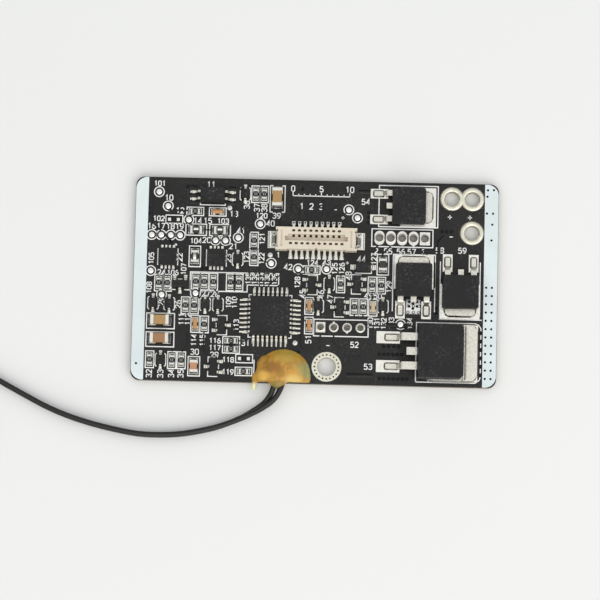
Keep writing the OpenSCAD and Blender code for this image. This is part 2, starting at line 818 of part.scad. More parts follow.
module coupler_places() {
    for (a = [0, 180]) rotate(a) for (s = [-1, 1]) translate([0, s * coupler_pitch / 2]) children();
}

module coupler_lead_shapes() {
    coupler_places() gull_lead(coupler_l / 2, coupler_span / 2, coupler_h / 2, coupler_lead_w);
}

module coupler_body() {
    color(mould_black) placed([coupler_at]) difference() {
        translate([0, 0, land_t]) moulded([coupler_l, coupler_w, coupler_h], coupler_h / 2);
        coupler_lead_shapes();
        translate([-coupler_l * 0.34, -coupler_w * 0.24, coupler_h + land_t - mark_depth])
            cylinder(r = 0.25, h = 1);
    }
}

module coupler_leads() {
    color(tin) placed([coupler_at]) coupler_lead_shapes();
}

// ---------------------------------------------------------------- connector

housing_lift = 0.1;               // the housing stands clear of the lands on its contacts
contact_t = 0.22;
tip_d = 0.3;                      // contact tip that shows in its round well
well_r = 0.3;
well_squash = 0.75;               // a well's width across the row as a share of that along it
well_d = 1;
row_offset = 0.88;                // from the slot's middle to the lower row's wells
upper_offset = 1.38;              // from the housing's middle to the upper row's wells
window = [0.44, 0.42, 2];         // size and depth of the windows in the slot's shelf
contact_side = 0.14;              // how far a contact's land runs out beside its foot
anchor_t = 0.22;
anchor_cut = [0.45, 0.36, 0.34];  // place along and across, and radius of an anchor foot's cut-outs
anchor_side = 0.2;                // how far the anchor's plate stops short of its foot's sides
ear_w = 0.42;
front_step = 0.12;                // how far the front is stepped back over the contacts
keyway = [0.42, 0.32];
end_groove = [0.32, 0.25];        // width and depth of the groove across each end of the face
end_groove_x = 0.65;              // from the housing's end to that groove
end_wall = 0.55;                  // wall left beside that groove
shelf = [0.35, 0.8, 0.5];         // the slot's shelf: its width, its depth, how far short it stops

// x of each contact in a row of n
function contact_xs(n) = [for (i = [0 : n - 1]) (i - (n - 1) / 2) * contact_pitch];

// One contact: a tip in its well, a stem down through the floor and a foot out to the side.
module contact(well_y, side) {
    foot_end = housing_w / 2 + contact_reach;
    translate([0, well_y, 0]) cylinder(d = tip_d, h = housing_h - well_d / 2, $fn = 16);
    translate([-contact_w / 2, side > 0 ? well_y : -foot_end, 0])
        cube([contact_w, foot_end - side * well_y, contact_t]);
}

module upper_contact_shapes() {
    for (x = contact_xs(contacts - 1)) translate([x, 0, 0]) contact(upper_offset, 1);
}

module lower_contact_shapes() {
    for (x = contact_xs(contacts)) translate([x, 0, 0]) contact(-row_offset, -1);
}

module contact_tip_land() {
    tip_land(housing_w / 2 + contact_reach, contact_w, contact_land, contact_side);
}

module connector_lands() {
    for (x = contact_xs(contacts - 1))
        translate([x, 0]) rotate(90) contact_tip_land();
    for (x = contact_xs(contacts))
        translate([x, 0]) rotate(-90) contact_tip_land();
    for (s = [-1, 1])
        translate([s * (housing_l / 2 + anchor_reach / 2 + land_side), 0])
            square([anchor_reach, anchor_w + 2 * land_side], center = true);
}

module housing_outline() {
    difference() {
        union() {
            square([housing_l, housing_w], center = true);
            for (y = [-1, 1]) translate([0, y * (housing_w - ear_w) / 2])
                square([housing_l + 2 * ear_l, ear_w], center = true);
        }
        // the front is stepped back over the contacts, with a keyway in its middle
        translate([0, -housing_w / 2])
            square([(contacts + 0.2) * contact_pitch, 2 * front_step], center = true);
        translate([0, -housing_w / 2]) square([keyway[0], 2 * keyway[1]], center = true);
    }
}

module well() {
    translate([0, 0, housing_h - well_d]) scale([1, well_squash, 1])
        cylinder(r = well_r, h = 2 * well_d, $fn = 24);
}

module connector_housing() {
    color(ivory) placed([connector_at]) difference() {
        translate([0, 0, housing_lift]) linear_extrude(housing_h - housing_lift) housing_outline();
        for (s = [-1, 1]) translate([s * (housing_l / 2 - end_groove_x), 0, housing_h])
            cube([end_groove[0], housing_w - 2 * end_wall, 2 * end_groove[1]], center = true);
        // plug slot, its narrower shelf and the windows that the upper contacts stand behind
        translate([-slot_l / 2, -slot_w / 2, housing_h - slot_d]) cube([slot_l, slot_w, slot_d + 1]);
        translate([-slot_l / 2 + shelf[2], slot_w / 2 - eps, housing_h - shelf[1]])
            cube([slot_l - 2 * shelf[2], shelf[0], 2]);
        for (x = contact_xs(contacts - 1))
            translate([x - window[0] / 2, slot_w / 2 + shelf[0] - window[1], housing_h - window[2]])
                cube(window);
        for (x = contact_xs(contacts - 1)) translate([x, upper_offset, 0]) well();
        for (x = contact_xs(contacts)) translate([x, -row_offset, 0]) well();
        upper_contact_shapes();
        lower_contact_shapes();
    }
}

module upper_contacts() {
    color(tin) placed([connector_at]) upper_contact_shapes();
}

module lower_contacts() {
    color(tin) placed([connector_at]) lower_contact_shapes();
}

// A solder anchor: a plate up the housing's end and a foot with two rounded cut-outs.
module anchor() {
    rise = housing_h * 0.62;
    x0 = housing_l / 2;
    translate([x0, anchor_side - anchor_w / 2, 0]) cube([anchor_t, anchor_w - 2 * anchor_side, rise]);
    difference() {
        translate([x0 + anchor_t - eps, -anchor_w / 2, 0])
            cube([anchor_reach - anchor_t, anchor_w, anchor_t]);
        for (y = [-1, 1])
            translate([x0 + anchor_t + anchor_cut[0], y * anchor_w * anchor_cut[1], -eps])
                cylinder(r = anchor_cut[2], h = 1, $fn = 24);
    }
}

module left_anchor() {
    color(tin) placed([connector_at]) rotate(180) anchor();
}

module right_anchor() {
    color(tin) placed([connector_at]) anchor();
}

// ---------------------------------------------------------------- chip parts

module chip_core(size) {
    translate([0, 0, size[2] / 2])
        cube([size[0] - 2 * cap_skin, size[1] - 2 * cap_skin, size[2] - 2 * cap_skin], center = true);
}

// The metal cups over both ends of a chip.
module chip_ends(size, band) {
    difference() {
        for (s = [-1, 1]) translate([s * (size[0] - band) / 2, 0, size[2] / 2])
            cube([band, size[1], size[2]], center = true);
        chip_core(size);
    }
}

module large_capacitor(i) color(ceramic_tan) placed([large_capacitors_at[i]]) chip_core(capacitor_large);
module large_capacitor_ends(i) {
    color(tin) placed([large_capacitors_at[i]]) chip_ends(capacitor_large, large_band);
}
module middle_capacitor() color(ceramic_tan) placed([middle_capacitor_at]) chip_core(capacitor_middle);
module middle_capacitor_ends() {
    color(tin) placed([middle_capacitor_at]) chip_ends(capacitor_middle, middle_band);
}
module small_capacitors() color(ceramic_tan) placed(small_capacitors_at) chip_core(capacitor_small);
module small_capacitor_ends() {
    color(tin) placed(small_capacitors_at) chip_ends(capacitor_small, small_band);
}
module middle_resistors() color(mould_black) placed(middle_resistors_at) chip_core(resistor_middle);
module middle_resistor_ends() {
    color(tin) placed(middle_resistors_at) chip_ends(resistor_middle, middle_resistor_band);
}
module small_resistors() color(mould_black) placed(small_resistors_at) chip_core(resistor_small);
module small_resistor_ends() {
    color(tin) placed(small_resistors_at) chip_ends(resistor_small, small_resistor_band);
}

// ---------------------------------------------------------------- small leaded parts

// Two leads behind and one in front, each pointing along its own +X.
module signal_lead_places() {
    rotate(90) for (s = [-1, 1]) translate([0, s * signal_lead_y]) children();
    rotate(-90) children();
}

module signal_lead_shapes() {
    signal_lead_places()
        gull_lead(signal_body[1] / 2, signal_span / 2, signal_body[2] / 2, signal_lead_w);
}

module signal_transistor(i) {
    color(mould_black) placed([signal_transistors_at[i]]) difference() {
        translate([0, 0, land_t]) moulded(signal_body, signal_body[2] / 2);
        signal_lead_shapes();
    }
}

module signal_leads() {
    color(tin) placed(signal_transistors_at) signal_lead_shapes();
}

module two_leads(body, span, w) {
    for (a = [0, 180]) rotate(a) gull_lead(body[0] / 2, span / 2, body[2] / 2, w);
}

module two_lead_body(body, span, w) {
    difference() {
        translate([0, 0, land_t]) moulded(body, body[2] / 2);
        two_leads(body, span, w);
    }
}

module small_diodes() {
    color(mould_black) placed(small_diodes_at) two_lead_body(diode_body, diode_span, diode_lead_w);
}
module small_diode_leads() {
    color(tin) placed(small_diodes_at) two_leads(diode_body, diode_span, diode_lead_w);
}
module clamp_diode() {
    color(mould_black) placed([clamp_diode_at]) two_lead_body(clamp_body, clamp_span, clamp_lead_w);
}
module clamp_diode_leads() {
    color(tin) placed([clamp_diode_at]) two_leads(clamp_body, clamp_span, clamp_lead_w);
}

// ---------------------------------------------------------------- sensor

// Balls that the sealing compound is drawn over: [x, y, height over the board, radius]. The
// second lot is the collar round the start of the lead.
blob_balls = [
    [-5.2, -14.9, -0.74, 3.14], [-8.1, -15.95, -0.8, 2.11], [-2.15, -16.25, -0.6, 1.9],
    [-9.9, -17.3, -0.3, 0.8],
];
collar_balls = [[-6.1, -17.5, 0.4, 1.3], [-5.8, -15.5, 0.3, 1.8]];
lip_drop = 0.7;                   // how far the compound hangs down over the board's edge

module ball_hull(balls) {
    hull() for (b = balls) translate([b[0], b[1], board_t + b[2]]) sphere(b[3], $fn = 28);
}

module sealing_blob() {
    color("#c99a3f") intersection() {
        difference() {
            scale([spread[0], spread[1], 1]) {
                ball_hull(blob_balls);
                ball_hull(collar_balls);
            }
            translate([left_x, front_y, -board_t]) cube([board_l, board_w, 2 * board_t]);
        }
        translate([left_x, seal_xy[1], board_t - lip_drop]) cube([board_l, board_w, 8]);
    }
}

function heading(i) = let (
    a = lead_route[max(i - 1, 0)], b = lead_route[min(i + 1, len(lead_route) - 1)]
) i == 0 ? [0, -1, 0] : unit([b[0] - a[0], b[1] - a[1], b[2] - a[2]]);

// The ring of corners round the lead at point i of its route.
function lead_ring(i) = let (
    p = lead_route[i], ahead = heading(i),
    aside = unit(cross([0, 0, 1], ahead)), above = cross(ahead, aside),
    across = cos(p[3]) * aside + sin(p[3]) * above,
    through = cos(p[3]) * above - sin(p[3]) * aside
) [for (k = [0 : lead_sides - 1]) let (a = (k + 0.5) * 360 / lead_sides)
    [seal_xy[0] + p[0], seal_xy[1] + p[1], p[2]]
        + across * (lead_w / 2) * cos(a) + through * (lead_t / 2) * sin(a)];

module sensor_lead() {
    n = lead_sides;
    last = len(lead_route) - 1;
    color("#33302e") polyhedron(
        points = [for (i = [0 : last]) each lead_ring(i)],
        faces = concat(
            [[for (k = [0 : n - 1]) k]],
            [for (i = [0 : last - 1], k = [0 : n - 1])
                [i * n + k, (i + 1) * n + k, (i + 1) * n + (k + 1) % n]],
            [for (i = [0 : last - 1], k = [0 : n - 1])
                [i * n + k, (i + 1) * n + (k + 1) % n, i * n + (k + 1) % n]],
            [[for (k = [n - 1 : -1 : 0]) last * n + k]]
        )
    );
}

module lead_coil() {
    color("#33302e") translate(coil_xy) rotate_extrude($fn = 96)
        translate([coil_inner_r, 0]) square([coil_outer_r - coil_inner_r, lead_w]);
}

module sensor_bead() {
    r = bead_d / 2;
    stow = coil_inner_r - r - bead_gap;
    color("#1f1f1f") translate(coil_xy) rotate(bead_turn) translate([stow, 0, r]) rotate([90, 0, 0])
        rotate_extrude() polygon(concat(
            [[0, -bead_l / 2]],
            [for (a = [0 : 15 : 90]) [r * sin(a), -bead_l / 2 + r * (1 - cos(a))]],
            [[r * 0.85, bead_l / 2 - r * 0.5], [r * 0.5, bead_l / 2], [0, bead_l / 2]]
        ));
}

circuit_board();
left_strip();
right_strip();
solder_lands();
test_points();
positive_wire_rings();
load_wire_ring();
cell_wire_ring();
row_five_rings();
row_four_rings();
battery_switch_body();
battery_switch_frame();
power_diode_body();
power_diode_frame();
charge_switch_body();
charge_switch_frame();
load_switch_body();
load_switch_frame();
controller_body();
controller_leads();
cell_switch_body(0);  // cell_switch_body_1
cell_switch_body(1);  // cell_switch_body_2
cell_switch_terminals(0);  // cell_switch_terminals_1
cell_switch_terminals(1);  // cell_switch_terminals_2
coupler_body();
coupler_leads();
connector_housing();
upper_contacts();
lower_contacts();
left_anchor();
right_anchor();
large_capacitor(0);  // large_capacitor_1
large_capacitor(1);  // large_capacitor_2
large_capacitor(2);  // large_capacitor_3
large_capacitor_ends(0);  // large_capacitor_ends_1
large_capacitor_ends(1);  // large_capacitor_ends_2
large_capacitor_ends(2);  // large_capacitor_ends_3
middle_capacitor();
middle_capacitor_ends();
small_capacitors();
small_capacitor_ends();
middle_resistors();
middle_resistor_ends();
small_resistors();
small_resistor_ends();
signal_transistor(0);  // signal_transistor_1
signal_transistor(1);  // signal_transistor_2
signal_transistor(2);  // signal_transistor_3
signal_transistor(3);  // signal_transistor_4
signal_transistor(4);  // signal_transistor_5
signal_transistor(5);  // signal_transistor_6
signal_leads();
small_diodes();
small_diode_leads();
clamp_diode();
clamp_diode_leads();
sealing_blob();
sensor_lead();
lead_coil();
sensor_bead();
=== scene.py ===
import json
import math

import bmesh
import bpy
from mathutils import Matrix, Vector


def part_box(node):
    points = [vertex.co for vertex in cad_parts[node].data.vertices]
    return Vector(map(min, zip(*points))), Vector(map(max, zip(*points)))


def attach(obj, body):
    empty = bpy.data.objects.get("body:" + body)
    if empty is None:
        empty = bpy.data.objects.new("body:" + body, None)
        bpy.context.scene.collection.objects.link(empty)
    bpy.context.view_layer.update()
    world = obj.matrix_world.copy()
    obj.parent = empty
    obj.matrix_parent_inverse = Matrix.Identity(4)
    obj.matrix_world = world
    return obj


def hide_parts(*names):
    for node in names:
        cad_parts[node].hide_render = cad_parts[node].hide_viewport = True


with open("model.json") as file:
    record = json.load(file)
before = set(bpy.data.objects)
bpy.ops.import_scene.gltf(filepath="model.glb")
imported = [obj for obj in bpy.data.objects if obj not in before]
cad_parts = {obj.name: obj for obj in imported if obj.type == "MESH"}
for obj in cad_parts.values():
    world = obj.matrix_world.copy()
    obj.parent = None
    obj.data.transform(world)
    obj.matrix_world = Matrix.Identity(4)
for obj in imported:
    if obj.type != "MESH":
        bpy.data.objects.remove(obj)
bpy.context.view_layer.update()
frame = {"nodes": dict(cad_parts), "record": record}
NODES = frame["nodes"]

bl_info = {
    "name": "Battery Management Board",
    "version": (1, 0, 0),
    "blender": (4, 5, 0),
    "location": "3D View > Sidebar > Board",
    "description": "Finishes a populated battery board: mask, print, solder, parts, sealant and lead",
    "category": "Object",
}

MM = 0.001
BODY = "root"
BOARD_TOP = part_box("circuit_board")[1].z / MM
LAND_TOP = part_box("solder_lands")[1].z / MM


SIGNAL_BODIES = ["signal_transistor_%d" % i for i in range(1, 7)]
LARGE_CAPACITORS = ["large_capacitor_%d" % i for i in (1, 2, 3)]
POWER_PARTS = ["battery_switch", "power_diode", "charge_switch", "load_switch"]


# ---------------------------------------------------------------- making pieces

def new_piece(name, mesh, material):
    """An object for a finished mesh, riding on the board."""
    piece = bpy.data.objects.new(name, mesh)
    bpy.context.scene.collection.objects.link(piece)
    mesh.materials.clear()
    mesh.materials.append(material)
    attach(piece, BODY)
    return piece


def piece_from(bm, name, material, merge=None):
    """A smooth piece from a bmesh drawn in millimetres."""
    if merge:
        bmesh.ops.remove_doubles(bm, verts=bm.verts, dist=merge)
    bmesh.ops.recalc_face_normals(bm, faces=bm.faces)
    bmesh.ops.scale(bm, vec=Vector((MM, MM, MM)), verts=bm.verts)
    for face in bm.faces:
        face.smooth = True
    mesh = bpy.data.meshes.new(name)
    bm.to_mesh(mesh)
    bm.free()
    return new_piece(name, mesh, material)


def dress(material, *names):
    """Gives CAD nodes their material."""
    for name in names:
        node = NODES[name]
        node.data.materials.clear()
        node.data.materials.append(material)


def ease_edges(width, *names, angle=32):
    """Merges a CAD node's triangles and rounds its edges, in millimetres."""
    for name in names:
        node = NODES[name]
        weld = node.modifiers.new("Merged Triangles", "WELD")
        weld.merge_threshold = 1e-6
        flat = node.modifiers.new("Flat Faces", "DECIMATE")
        flat.decimate_type = "DISSOLVE"
        flat.angle_limit = math.radians(1)
        bevel = node.modifiers.new("Moulded Edges", "BEVEL")
        bevel.width = width * MM
        bevel.segments = 2
        bevel.limit_method = "ANGLE"
        bevel.angle_limit = math.radians(angle)
        bevel.use_clamp_overlap = True


def solids(*names):
    """The box of each separate solid in some CAD nodes, in millimetres: (low, high)."""
    boxes = []
    for name in names:
        mesh = NODES[name].data
        places, number = {}, []
        for vertex in mesh.vertices:
            key = tuple(round(c * 1e7) for c in vertex.co)
            number.append(places.setdefault(key, len(places)))
        parent = list(range(len(places)))

        def top(i):
            """The number that stands for the solid which vertex i belongs to."""
            while parent[i] != i:
                parent[i] = parent[parent[i]]
                i = parent[i]
            return i

        for polygon in mesh.polygons:
            first = top(number[polygon.vertices[0]])
            for index in polygon.vertices[1:]:
                parent[top(number[index])] = first
        found = {}
        for vertex in mesh.vertices:
            found.setdefault(top(number[vertex.index]), []).append(vertex.co)
        for points in found.values():
            boxes.append(tuple(
                Vector([pick(p[axis] for p in points) / MM for axis in range(3)])
                for pick in (min, max)))
    return boxes


def middle(box):
    """The middle point of a box."""
    return (box[0] + box[1]) / 2


def nearest(point, boxes):
    """The box whose middle is nearest to a point."""
    return min(boxes, key=lambda box: (middle(box) - point).length)


def outward(box, body):
    """The level axis along which a solid sticks out of its body, as a unit vector."""
    away = middle(box) - middle(body)
    reach = [abs(away[i]) - (body[1][i] - body[0][i]) / 2 for i in range(2)]
    along = Vector((0, 0, 0))
    along[reach.index(max(reach))] = 1
    return along if away.dot(along) > 0 else -along


def tips(leads, bodies):
    """For each lead: the middle of its tip, the way it points, its width and its length."""
    around = solids(*bodies)
    found = []
    for box in solids(*leads):
        way = outward(box, nearest(middle(box), around))
        size = box[1] - box[0]
        along, across = (size.x, size.y) if abs(way.x) > 0.5 else (size.y, size.x)
        tip = middle(box) + way * along / 2
        tip.z = box[0].z
        found.append((tip, way, across, along))
    return found


# ---------------------------------------------------------------- shader groups

def feed(tree, socket, value):
    """Links an output to a socket, or sets the socket to a plain value."""
    if isinstance(value, bpy.types.NodeSocket):
        tree.links.new(value, socket)
    else:
        socket.default_value = value


def add(tree, kind, inputs=None, **properties):
    """Adds a shader node, sets its properties and feeds its inputs."""
    made = tree.nodes.new("ShaderNode" + kind)
    for name, value in properties.items():
        setattr(made, name, value)
    for key, value in (inputs or {}).items():
        feed(tree, made.inputs[key], value)
    return made


def maths(tree, operation, first, second=0.0):
    """The result of a sum of one or two values."""
    return add(tree, "Math", {0: first, 1: second}, operation=operation).outputs[0]


def blend(tree, share, first, second):
    """A mix of two colours."""
    made = add(tree, "Mix", {0: share}, data_type="RGBA")
    feed(tree, made.inputs[6], first)
    feed(tree, made.inputs[7], second)
    return made.outputs[2]


def limits(tree, value, low, high, out_low=0.0, out_high=1.0):
    """A value read from one range and put out in another, smoothly."""
    made = add(tree, "MapRange", {"Value": value, "From Min": low, "From Max": high,
                                  "To Min": out_low, "To Max": out_high},
               interpolation_type="SMOOTHSTEP")
    return made.outputs["Result"]


def place_of(tree):
    """The shaded point's own place on the board."""
    return add(tree, "TexCoord").outputs["Object"]


def axes_of(tree, vector):
    """A vector's parts, by the names X, Y and Z."""
    return add(tree, "SeparateXYZ", {0: vector}).outputs


def shader_group(name, inputs, outputs):
    """An empty node group with named sockets: (group, its input node, its output node)."""
    group = bpy.data.node_groups.new(name, "ShaderNodeTree")
    for label, kind, default in inputs:
        socket = group.interface.new_socket(label, in_out="INPUT", socket_type="NodeSocket" + kind)
        socket.default_value = default
    for label, kind in outputs:
        group.interface.new_socket(label, in_out="OUTPUT", socket_type="NodeSocket" + kind)
    return group, group.nodes.new("NodeGroupInput"), group.nodes.new("NodeGroupOutput")


def grain_group():
    """Fine moulded or printed grain: a height, and a slow drift from 0 to 1."""
    group, given, out = shader_group(
        "Fine Grain", [("Grain Size", "Float", 0.1), ("Patch Size", "Float", 3.0)],
        [("Height", "Float"), ("Drift", "Float")])
    place = place_of(group)
    fine = add(group, "TexNoise", {
        "Vector": place, "Detail": 3.0, "Roughness": 0.6,
        "Scale": maths(group, "DIVIDE", 1 / MM, given.outputs["Grain Size"])})
    slow = add(group, "TexNoise", {
        "Vector": place, "Detail": 2.0,
        "Scale": maths(group, "DIVIDE", 1 / MM, given.outputs["Patch Size"])})
    feed(group, out.inputs["Height"], fine.outputs["Fac"])
    feed(group, out.inputs["Drift"], limits(group, slow.outputs["Fac"], 0.3, 0.7))
    return group


def ripple_group():
    """Frozen solder: broad soft ripples with a few pits, and a tone that follows them."""
    group, given, out = shader_group(
        "Frozen Solder", [("Ripple Size", "Float", 0.6)], [("Height", "Float"), ("Tone", "Float")])
    place = place_of(group)
    scale = maths(group, "DIVIDE", 1 / MM, given.outputs["Ripple Size"])
    ripple = add(group, "TexNoise", {
        "Vector": place, "Scale": scale, "Detail": 1.5, "Roughness": 0.4, "Distortion": 0.6})
    pits = add(group, "TexVoronoi", {
        "Vector": place, "Scale": maths(group, "MULTIPLY", scale, 1.7)}, feature="SMOOTH_F1")
    height = maths(group, "ADD", ripple.outputs["Fac"],
                   maths(group, "MULTIPLY", pits.outputs["Distance"], 0.35))
    feed(group, out.inputs["Height"], height)
    feed(group, out.inputs["Tone"], limits(group, ripple.outputs["Fac"], 0.35, 0.68))
    return group


def dust_group():
    """Faint dust that settles on faces that look up, thinned by a speckle: a mask from 0 to 1."""
    group, given, out = shader_group(
        "Settled Dust", [("Cover", "Float", 0.3)], [("Mask", "Float")])
    place = place_of(group)
    up = axes_of(group, add(group, "NewGeometry").outputs["Normal"])["Z"]
    specks = add(group, "TexNoise", {"Vector": place, "Scale": 2600.0, "Detail": 4.0,
                                     "Roughness": 0.7})
    patches = add(group, "TexNoise", {"Vector": place, "Scale": 220.0, "Detail": 2.0})
    mask = maths(group, "MULTIPLY", limits(group, specks.outputs["Fac"], 0.5, 0.72),
                 limits(group, patches.outputs["Fac"], 0.35, 0.7))
    mask = maths(group, "MULTIPLY", mask, limits(group, up, 0.5, 0.95))
    feed(group, out.inputs["Mask"], maths(group, "MULTIPLY", mask, given.outputs["Cover"]))
    return group


GROUPS = {}


def use(tree, name, **values):
    """Places a shared effect in a material with its own values."""
    if name not in GROUPS:
        GROUPS[name] = {"grain": grain_group, "solder": ripple_group, "dust": dust_group}[name]()
    made = tree.nodes.new("ShaderNodeGroup")
    made.node_tree = GROUPS[name]
    for key, value in values.items():
        feed(tree, made.inputs[key.replace("_", " ")], value)
    return made.outputs


def new_material(name, **constants):
    """A material and its shader: constants are set on the shader's own sockets."""
    material = bpy.data.materials.new(name)
    material.use_nodes = True
    shader = material.node_tree.nodes["Principled BSDF"]
    for key, value in constants.items():
        shader.inputs[key.replace("_", " ")].default_value = value
    return material, material.node_tree, shader.inputs


def bump(tree, sockets, height, depth, strength=1.0):
    """Bump of a depth in millimetres."""
    made = add(tree, "Bump", {"Height": height, "Distance": depth * MM, "Strength": strength})
    tree.links.new(made.outputs["Normal"], sockets["Normal"])


def rgb(colour):
    """A colour as a shader takes it."""
    return (*colour[:3], 1.0)


def shade(colour, factor):
    """A colour made darker or lighter."""
    return (*(c * factor for c in colour[:3]), 1.0)


def dusted(tree, sockets, colour, cover):
    """Feeds a colour to the shader under a share of settled dust."""
    dust = use(tree, "dust", Cover=cover)["Mask"]
    feed(tree, sockets["Base Color"], blend(tree, dust, colour, rgb(DUST)))


# ---------------------------------------------------------------- materials

# Finishes that the panel doesn't offer: red, green and blue.
DUST = (0.42, 0.4, 0.36)
# Painted shade: the dark brown of the contacts down in the housing's wells.
CONTACT_WELL_SHADE = (0.16, 0.11, 0.06)      # contacts down in the housing
WELL_SHADE = (0.02, 0.012, 0.008)
CERAMIC_SPECK = (0.16, 0.09, 0.05)
# Near black: painted shade in holes, via dimples and narrow gaps, and the black of the patch's vias.
NEAR_BLACK_AND_HOLE_SHADE = (0.002, 0.002, 0.002)
FAINT_INK = (0.36, 0.36, 0.33)
FIRED_END = (0.8, 0.79, 0.75)
# Painted shade round the header holes.
HEADER_HOLE_SHADE = (0.2, 0.18, 0.15)
LINING_TIN = (0.62, 0.58, 0.5)
# Bright tin of the test points, also used as painted light on joints and plates that lie in shade.
BRIGHT_TIN_AND_LIGHT = (0.96, 0.95, 0.92)
MIDDLE_CERAMIC = (0.56, 0.27, 0.13)
BROWN_CERAMIC = (0.36, 0.18, 0.07)
PALE_CERAMIC = (0.66, 0.5, 0.34)


def mask_material(s):
    """Satin black solder mask; the board's cut edges show the laminate's glass layers."""
    material, tree, sockets = new_material("Solder Mask", IOR=1.38)
    grain = use(tree, "grain", Grain_Size=0.22, Patch_Size=4.0)
    place = place_of(tree)
    flat = axes_of(tree, add(tree, "NewGeometry").outputs["Normal"])["Z"]
    side = limits(tree, maths(tree, "ABSOLUTE", flat), 0.5, 0.3)
    layers = add(tree, "TexWave", {"Vector": place, "Scale": 1250.0, "Distortion": 1.5,
                                   "Detail": 2.0, "Detail Scale": 2.0},
                 bands_direction="Z").outputs["Fac"]
    glass = blend(tree, layers, shade(s.laminate_colour, 0.55), rgb(s.laminate_colour))
    mask = blend(tree, grain["Drift"], rgb(s.mask_colour), shade(s.mask_colour, 1.6))
    dusted(tree, sockets, blend(tree, side, mask, glass), 0.12)
    feed(tree, sockets["Roughness"], limits(tree, grain["Drift"], 0, 1, 0.36, 0.46))
    bump(tree, sockets, maths(tree, "ADD", grain["Height"], layers), 0.004, 0.5)
    return material


def grained_material(name, colour, ior, grain_size, patch_size, drift, cover, rough, depth,
                     strength):
    """A dusty matt surface: its tone drifts slowly and its roughness follows a fine grain."""
    material, tree, sockets = new_material(name, IOR=ior)
    grain = use(tree, "grain", Grain_Size=grain_size, Patch_Size=patch_size)
    dusted(tree, sockets, blend(tree, grain["Drift"], rgb(colour), shade(colour, drift)), cover)
    feed(tree, sockets["Roughness"], limits(tree, grain["Height"], 0.3, 0.7, *rough))
    bump(tree, sockets, grain["Height"], depth, strength)
    return material


def print_material(name, colour):
    """Matt white ink, slightly uneven where it was squeezed through the screen."""
    return grained_material(name, colour, 1.4, 0.12, 5.0, 0.93, 0.08, (0.42, 0.6), 0.006, 0.4)


def mould_material(name, colour, rough, grain_size=0.09, cover=0.2):
    """Filled epoxy moulding compound with a fine matt grain."""
    return grained_material(name, colour, 1.39, grain_size, 2.2, 1.35, cover,
                            (rough - 0.07, rough + 0.07), 0.01, 0.6)


def lead_material(s):
    """Matt black insulation with fine wipe marks along it."""
    return grained_material("Lead Insulation", s.lead_colour, 1.45, 0.14, 5.0, 1.7, 0.05,
                            (0.3, 0.42), 0.012, 0.5)


def tin_material(name, colour, low, high, depth, size):
    """Tinned metal: bright, with soft frozen ripples."""
    material, tree, sockets = new_material(name, Metallic=1.0)
    solder = use(tree, "solder", Ripple_Size=size)
    feed(tree, sockets["Base Color"],
         blend(tree, solder["Tone"], shade(colour, 0.82), rgb(colour)))
    feed(tree, sockets["Roughness"], limits(tree, solder["Tone"], 0, 1, high, low))
    bump(tree, sockets, solder["Height"], depth, 0.7)
    return material


def contact_material(s):
    """Plated contacts, with painted shade in dark brown where they stand down in the housing's wells.
    """
    material, tree, sockets = new_material("Contacts", Metallic=1.0)
    solder = use(tree, "solder", Ripple_Size=0.3)
    height = axes_of(tree, place_of(tree))["Z"]
    # Painted shade: above this height the contacts stand inside the housing and take the dark well
    # colour.
    deep = limits(tree, height, (LAND_TOP + 0.6) * MM, (LAND_TOP + 0.9) * MM)
    feed(tree, sockets["Base Color"], blend(tree, deep, rgb(s.lead_colour), rgb(CONTACT_WELL_SHADE)))
    feed(tree, sockets["Roughness"], limits(tree, solder["Tone"], 0, 1, 0.45, 0.3))
    bump(tree, sockets, solder["Height"], 0.006, 0.7)
    return material


WELL_HALF = 5.5                   # half the length of the rows of wells in the connector
# Dark hollows of the connector: place across it, half their width, and depth where they start.
HOLLOWS = [(1.38, 0.3, 0.1), (-0.88, 0.3, 0.1), (0.2, 0.8, 1.15)]


def nylon_material(s):
    """Ivory moulded nylon with a faint flow pattern."""
    material, tree, sockets = new_material(
        "Ivory Nylon", IOR=1.53, Subsurface_Weight=0.12, Subsurface_Scale=0.0006)
    grain = use(tree, "grain", Grain_Size=0.16, Patch_Size=2.6)
    body = blend(tree, grain["Drift"], rgb(s.nylon_colour), shade(s.nylon_colour, 0.92))
    low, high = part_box("connector_housing")
    axes = axes_of(tree, place_of(tree))
    depth = maths(tree, "SUBTRACT", high.z, axes["Z"])
    across = maths(tree, "SUBTRACT", axes["Y"], (low.y + high.y) / 2)
    along = maths(tree, "ABSOLUTE", maths(tree, "SUBTRACT", axes["X"], (low.x + high.x) / 2))
    inside = limits(tree, along, WELL_HALF * MM, (WELL_HALF - 0.2) * MM)
    for row, reach, start in HOLLOWS:
        off = maths(tree, "ABSOLUTE", maths(tree, "SUBTRACT", across, row * MM))
        dark = maths(tree, "MULTIPLY", limits(tree, off, (reach + 0.05) * MM, reach * MM),
                     limits(tree, depth, start * MM, (start + 0.25) * MM))
        body = blend(tree, maths(tree, "MULTIPLY", dark, inside), body, rgb(WELL_SHADE))
    dusted(tree, sockets, body, 0.1)
    feed(tree, sockets["Roughness"], limits(tree, grain["Height"], 0.3, 0.7, 0.34, 0.5))
    bump(tree, sockets, grain["Height"], 0.008, 0.5)
    return material


def ceramic_material(name, first, second=None, split=0):
    """Fired ceramic with a slight glaze; past the X of the split it may take a second colour."""
    material, tree, sockets = new_material(name, IOR=1.55)
    grain = use(tree, "grain", Grain_Size=0.1, Patch_Size=1.1)
    body = rgb(first)
    if second is not None:
        along = axes_of(tree, place_of(tree))["X"]
        body = blend(tree, limits(tree, along, (split - 0.1) * MM, (split + 0.1) * MM),
                     body, rgb(second))
    speck = limits(tree, grain["Height"], 0.42, 0.62)
    tone = blend(tree, maths(tree, "MULTIPLY", speck, 0.35), body, rgb(CERAMIC_SPECK))
    feed(tree, sockets["Base Color"], tone)
    feed(tree, sockets["Roughness"], limits(tree, grain["Drift"], 0, 1, 0.38, 0.52))
    bump(tree, sockets, grain["Height"], 0.006, 0.5)
    return material


MADE = {}


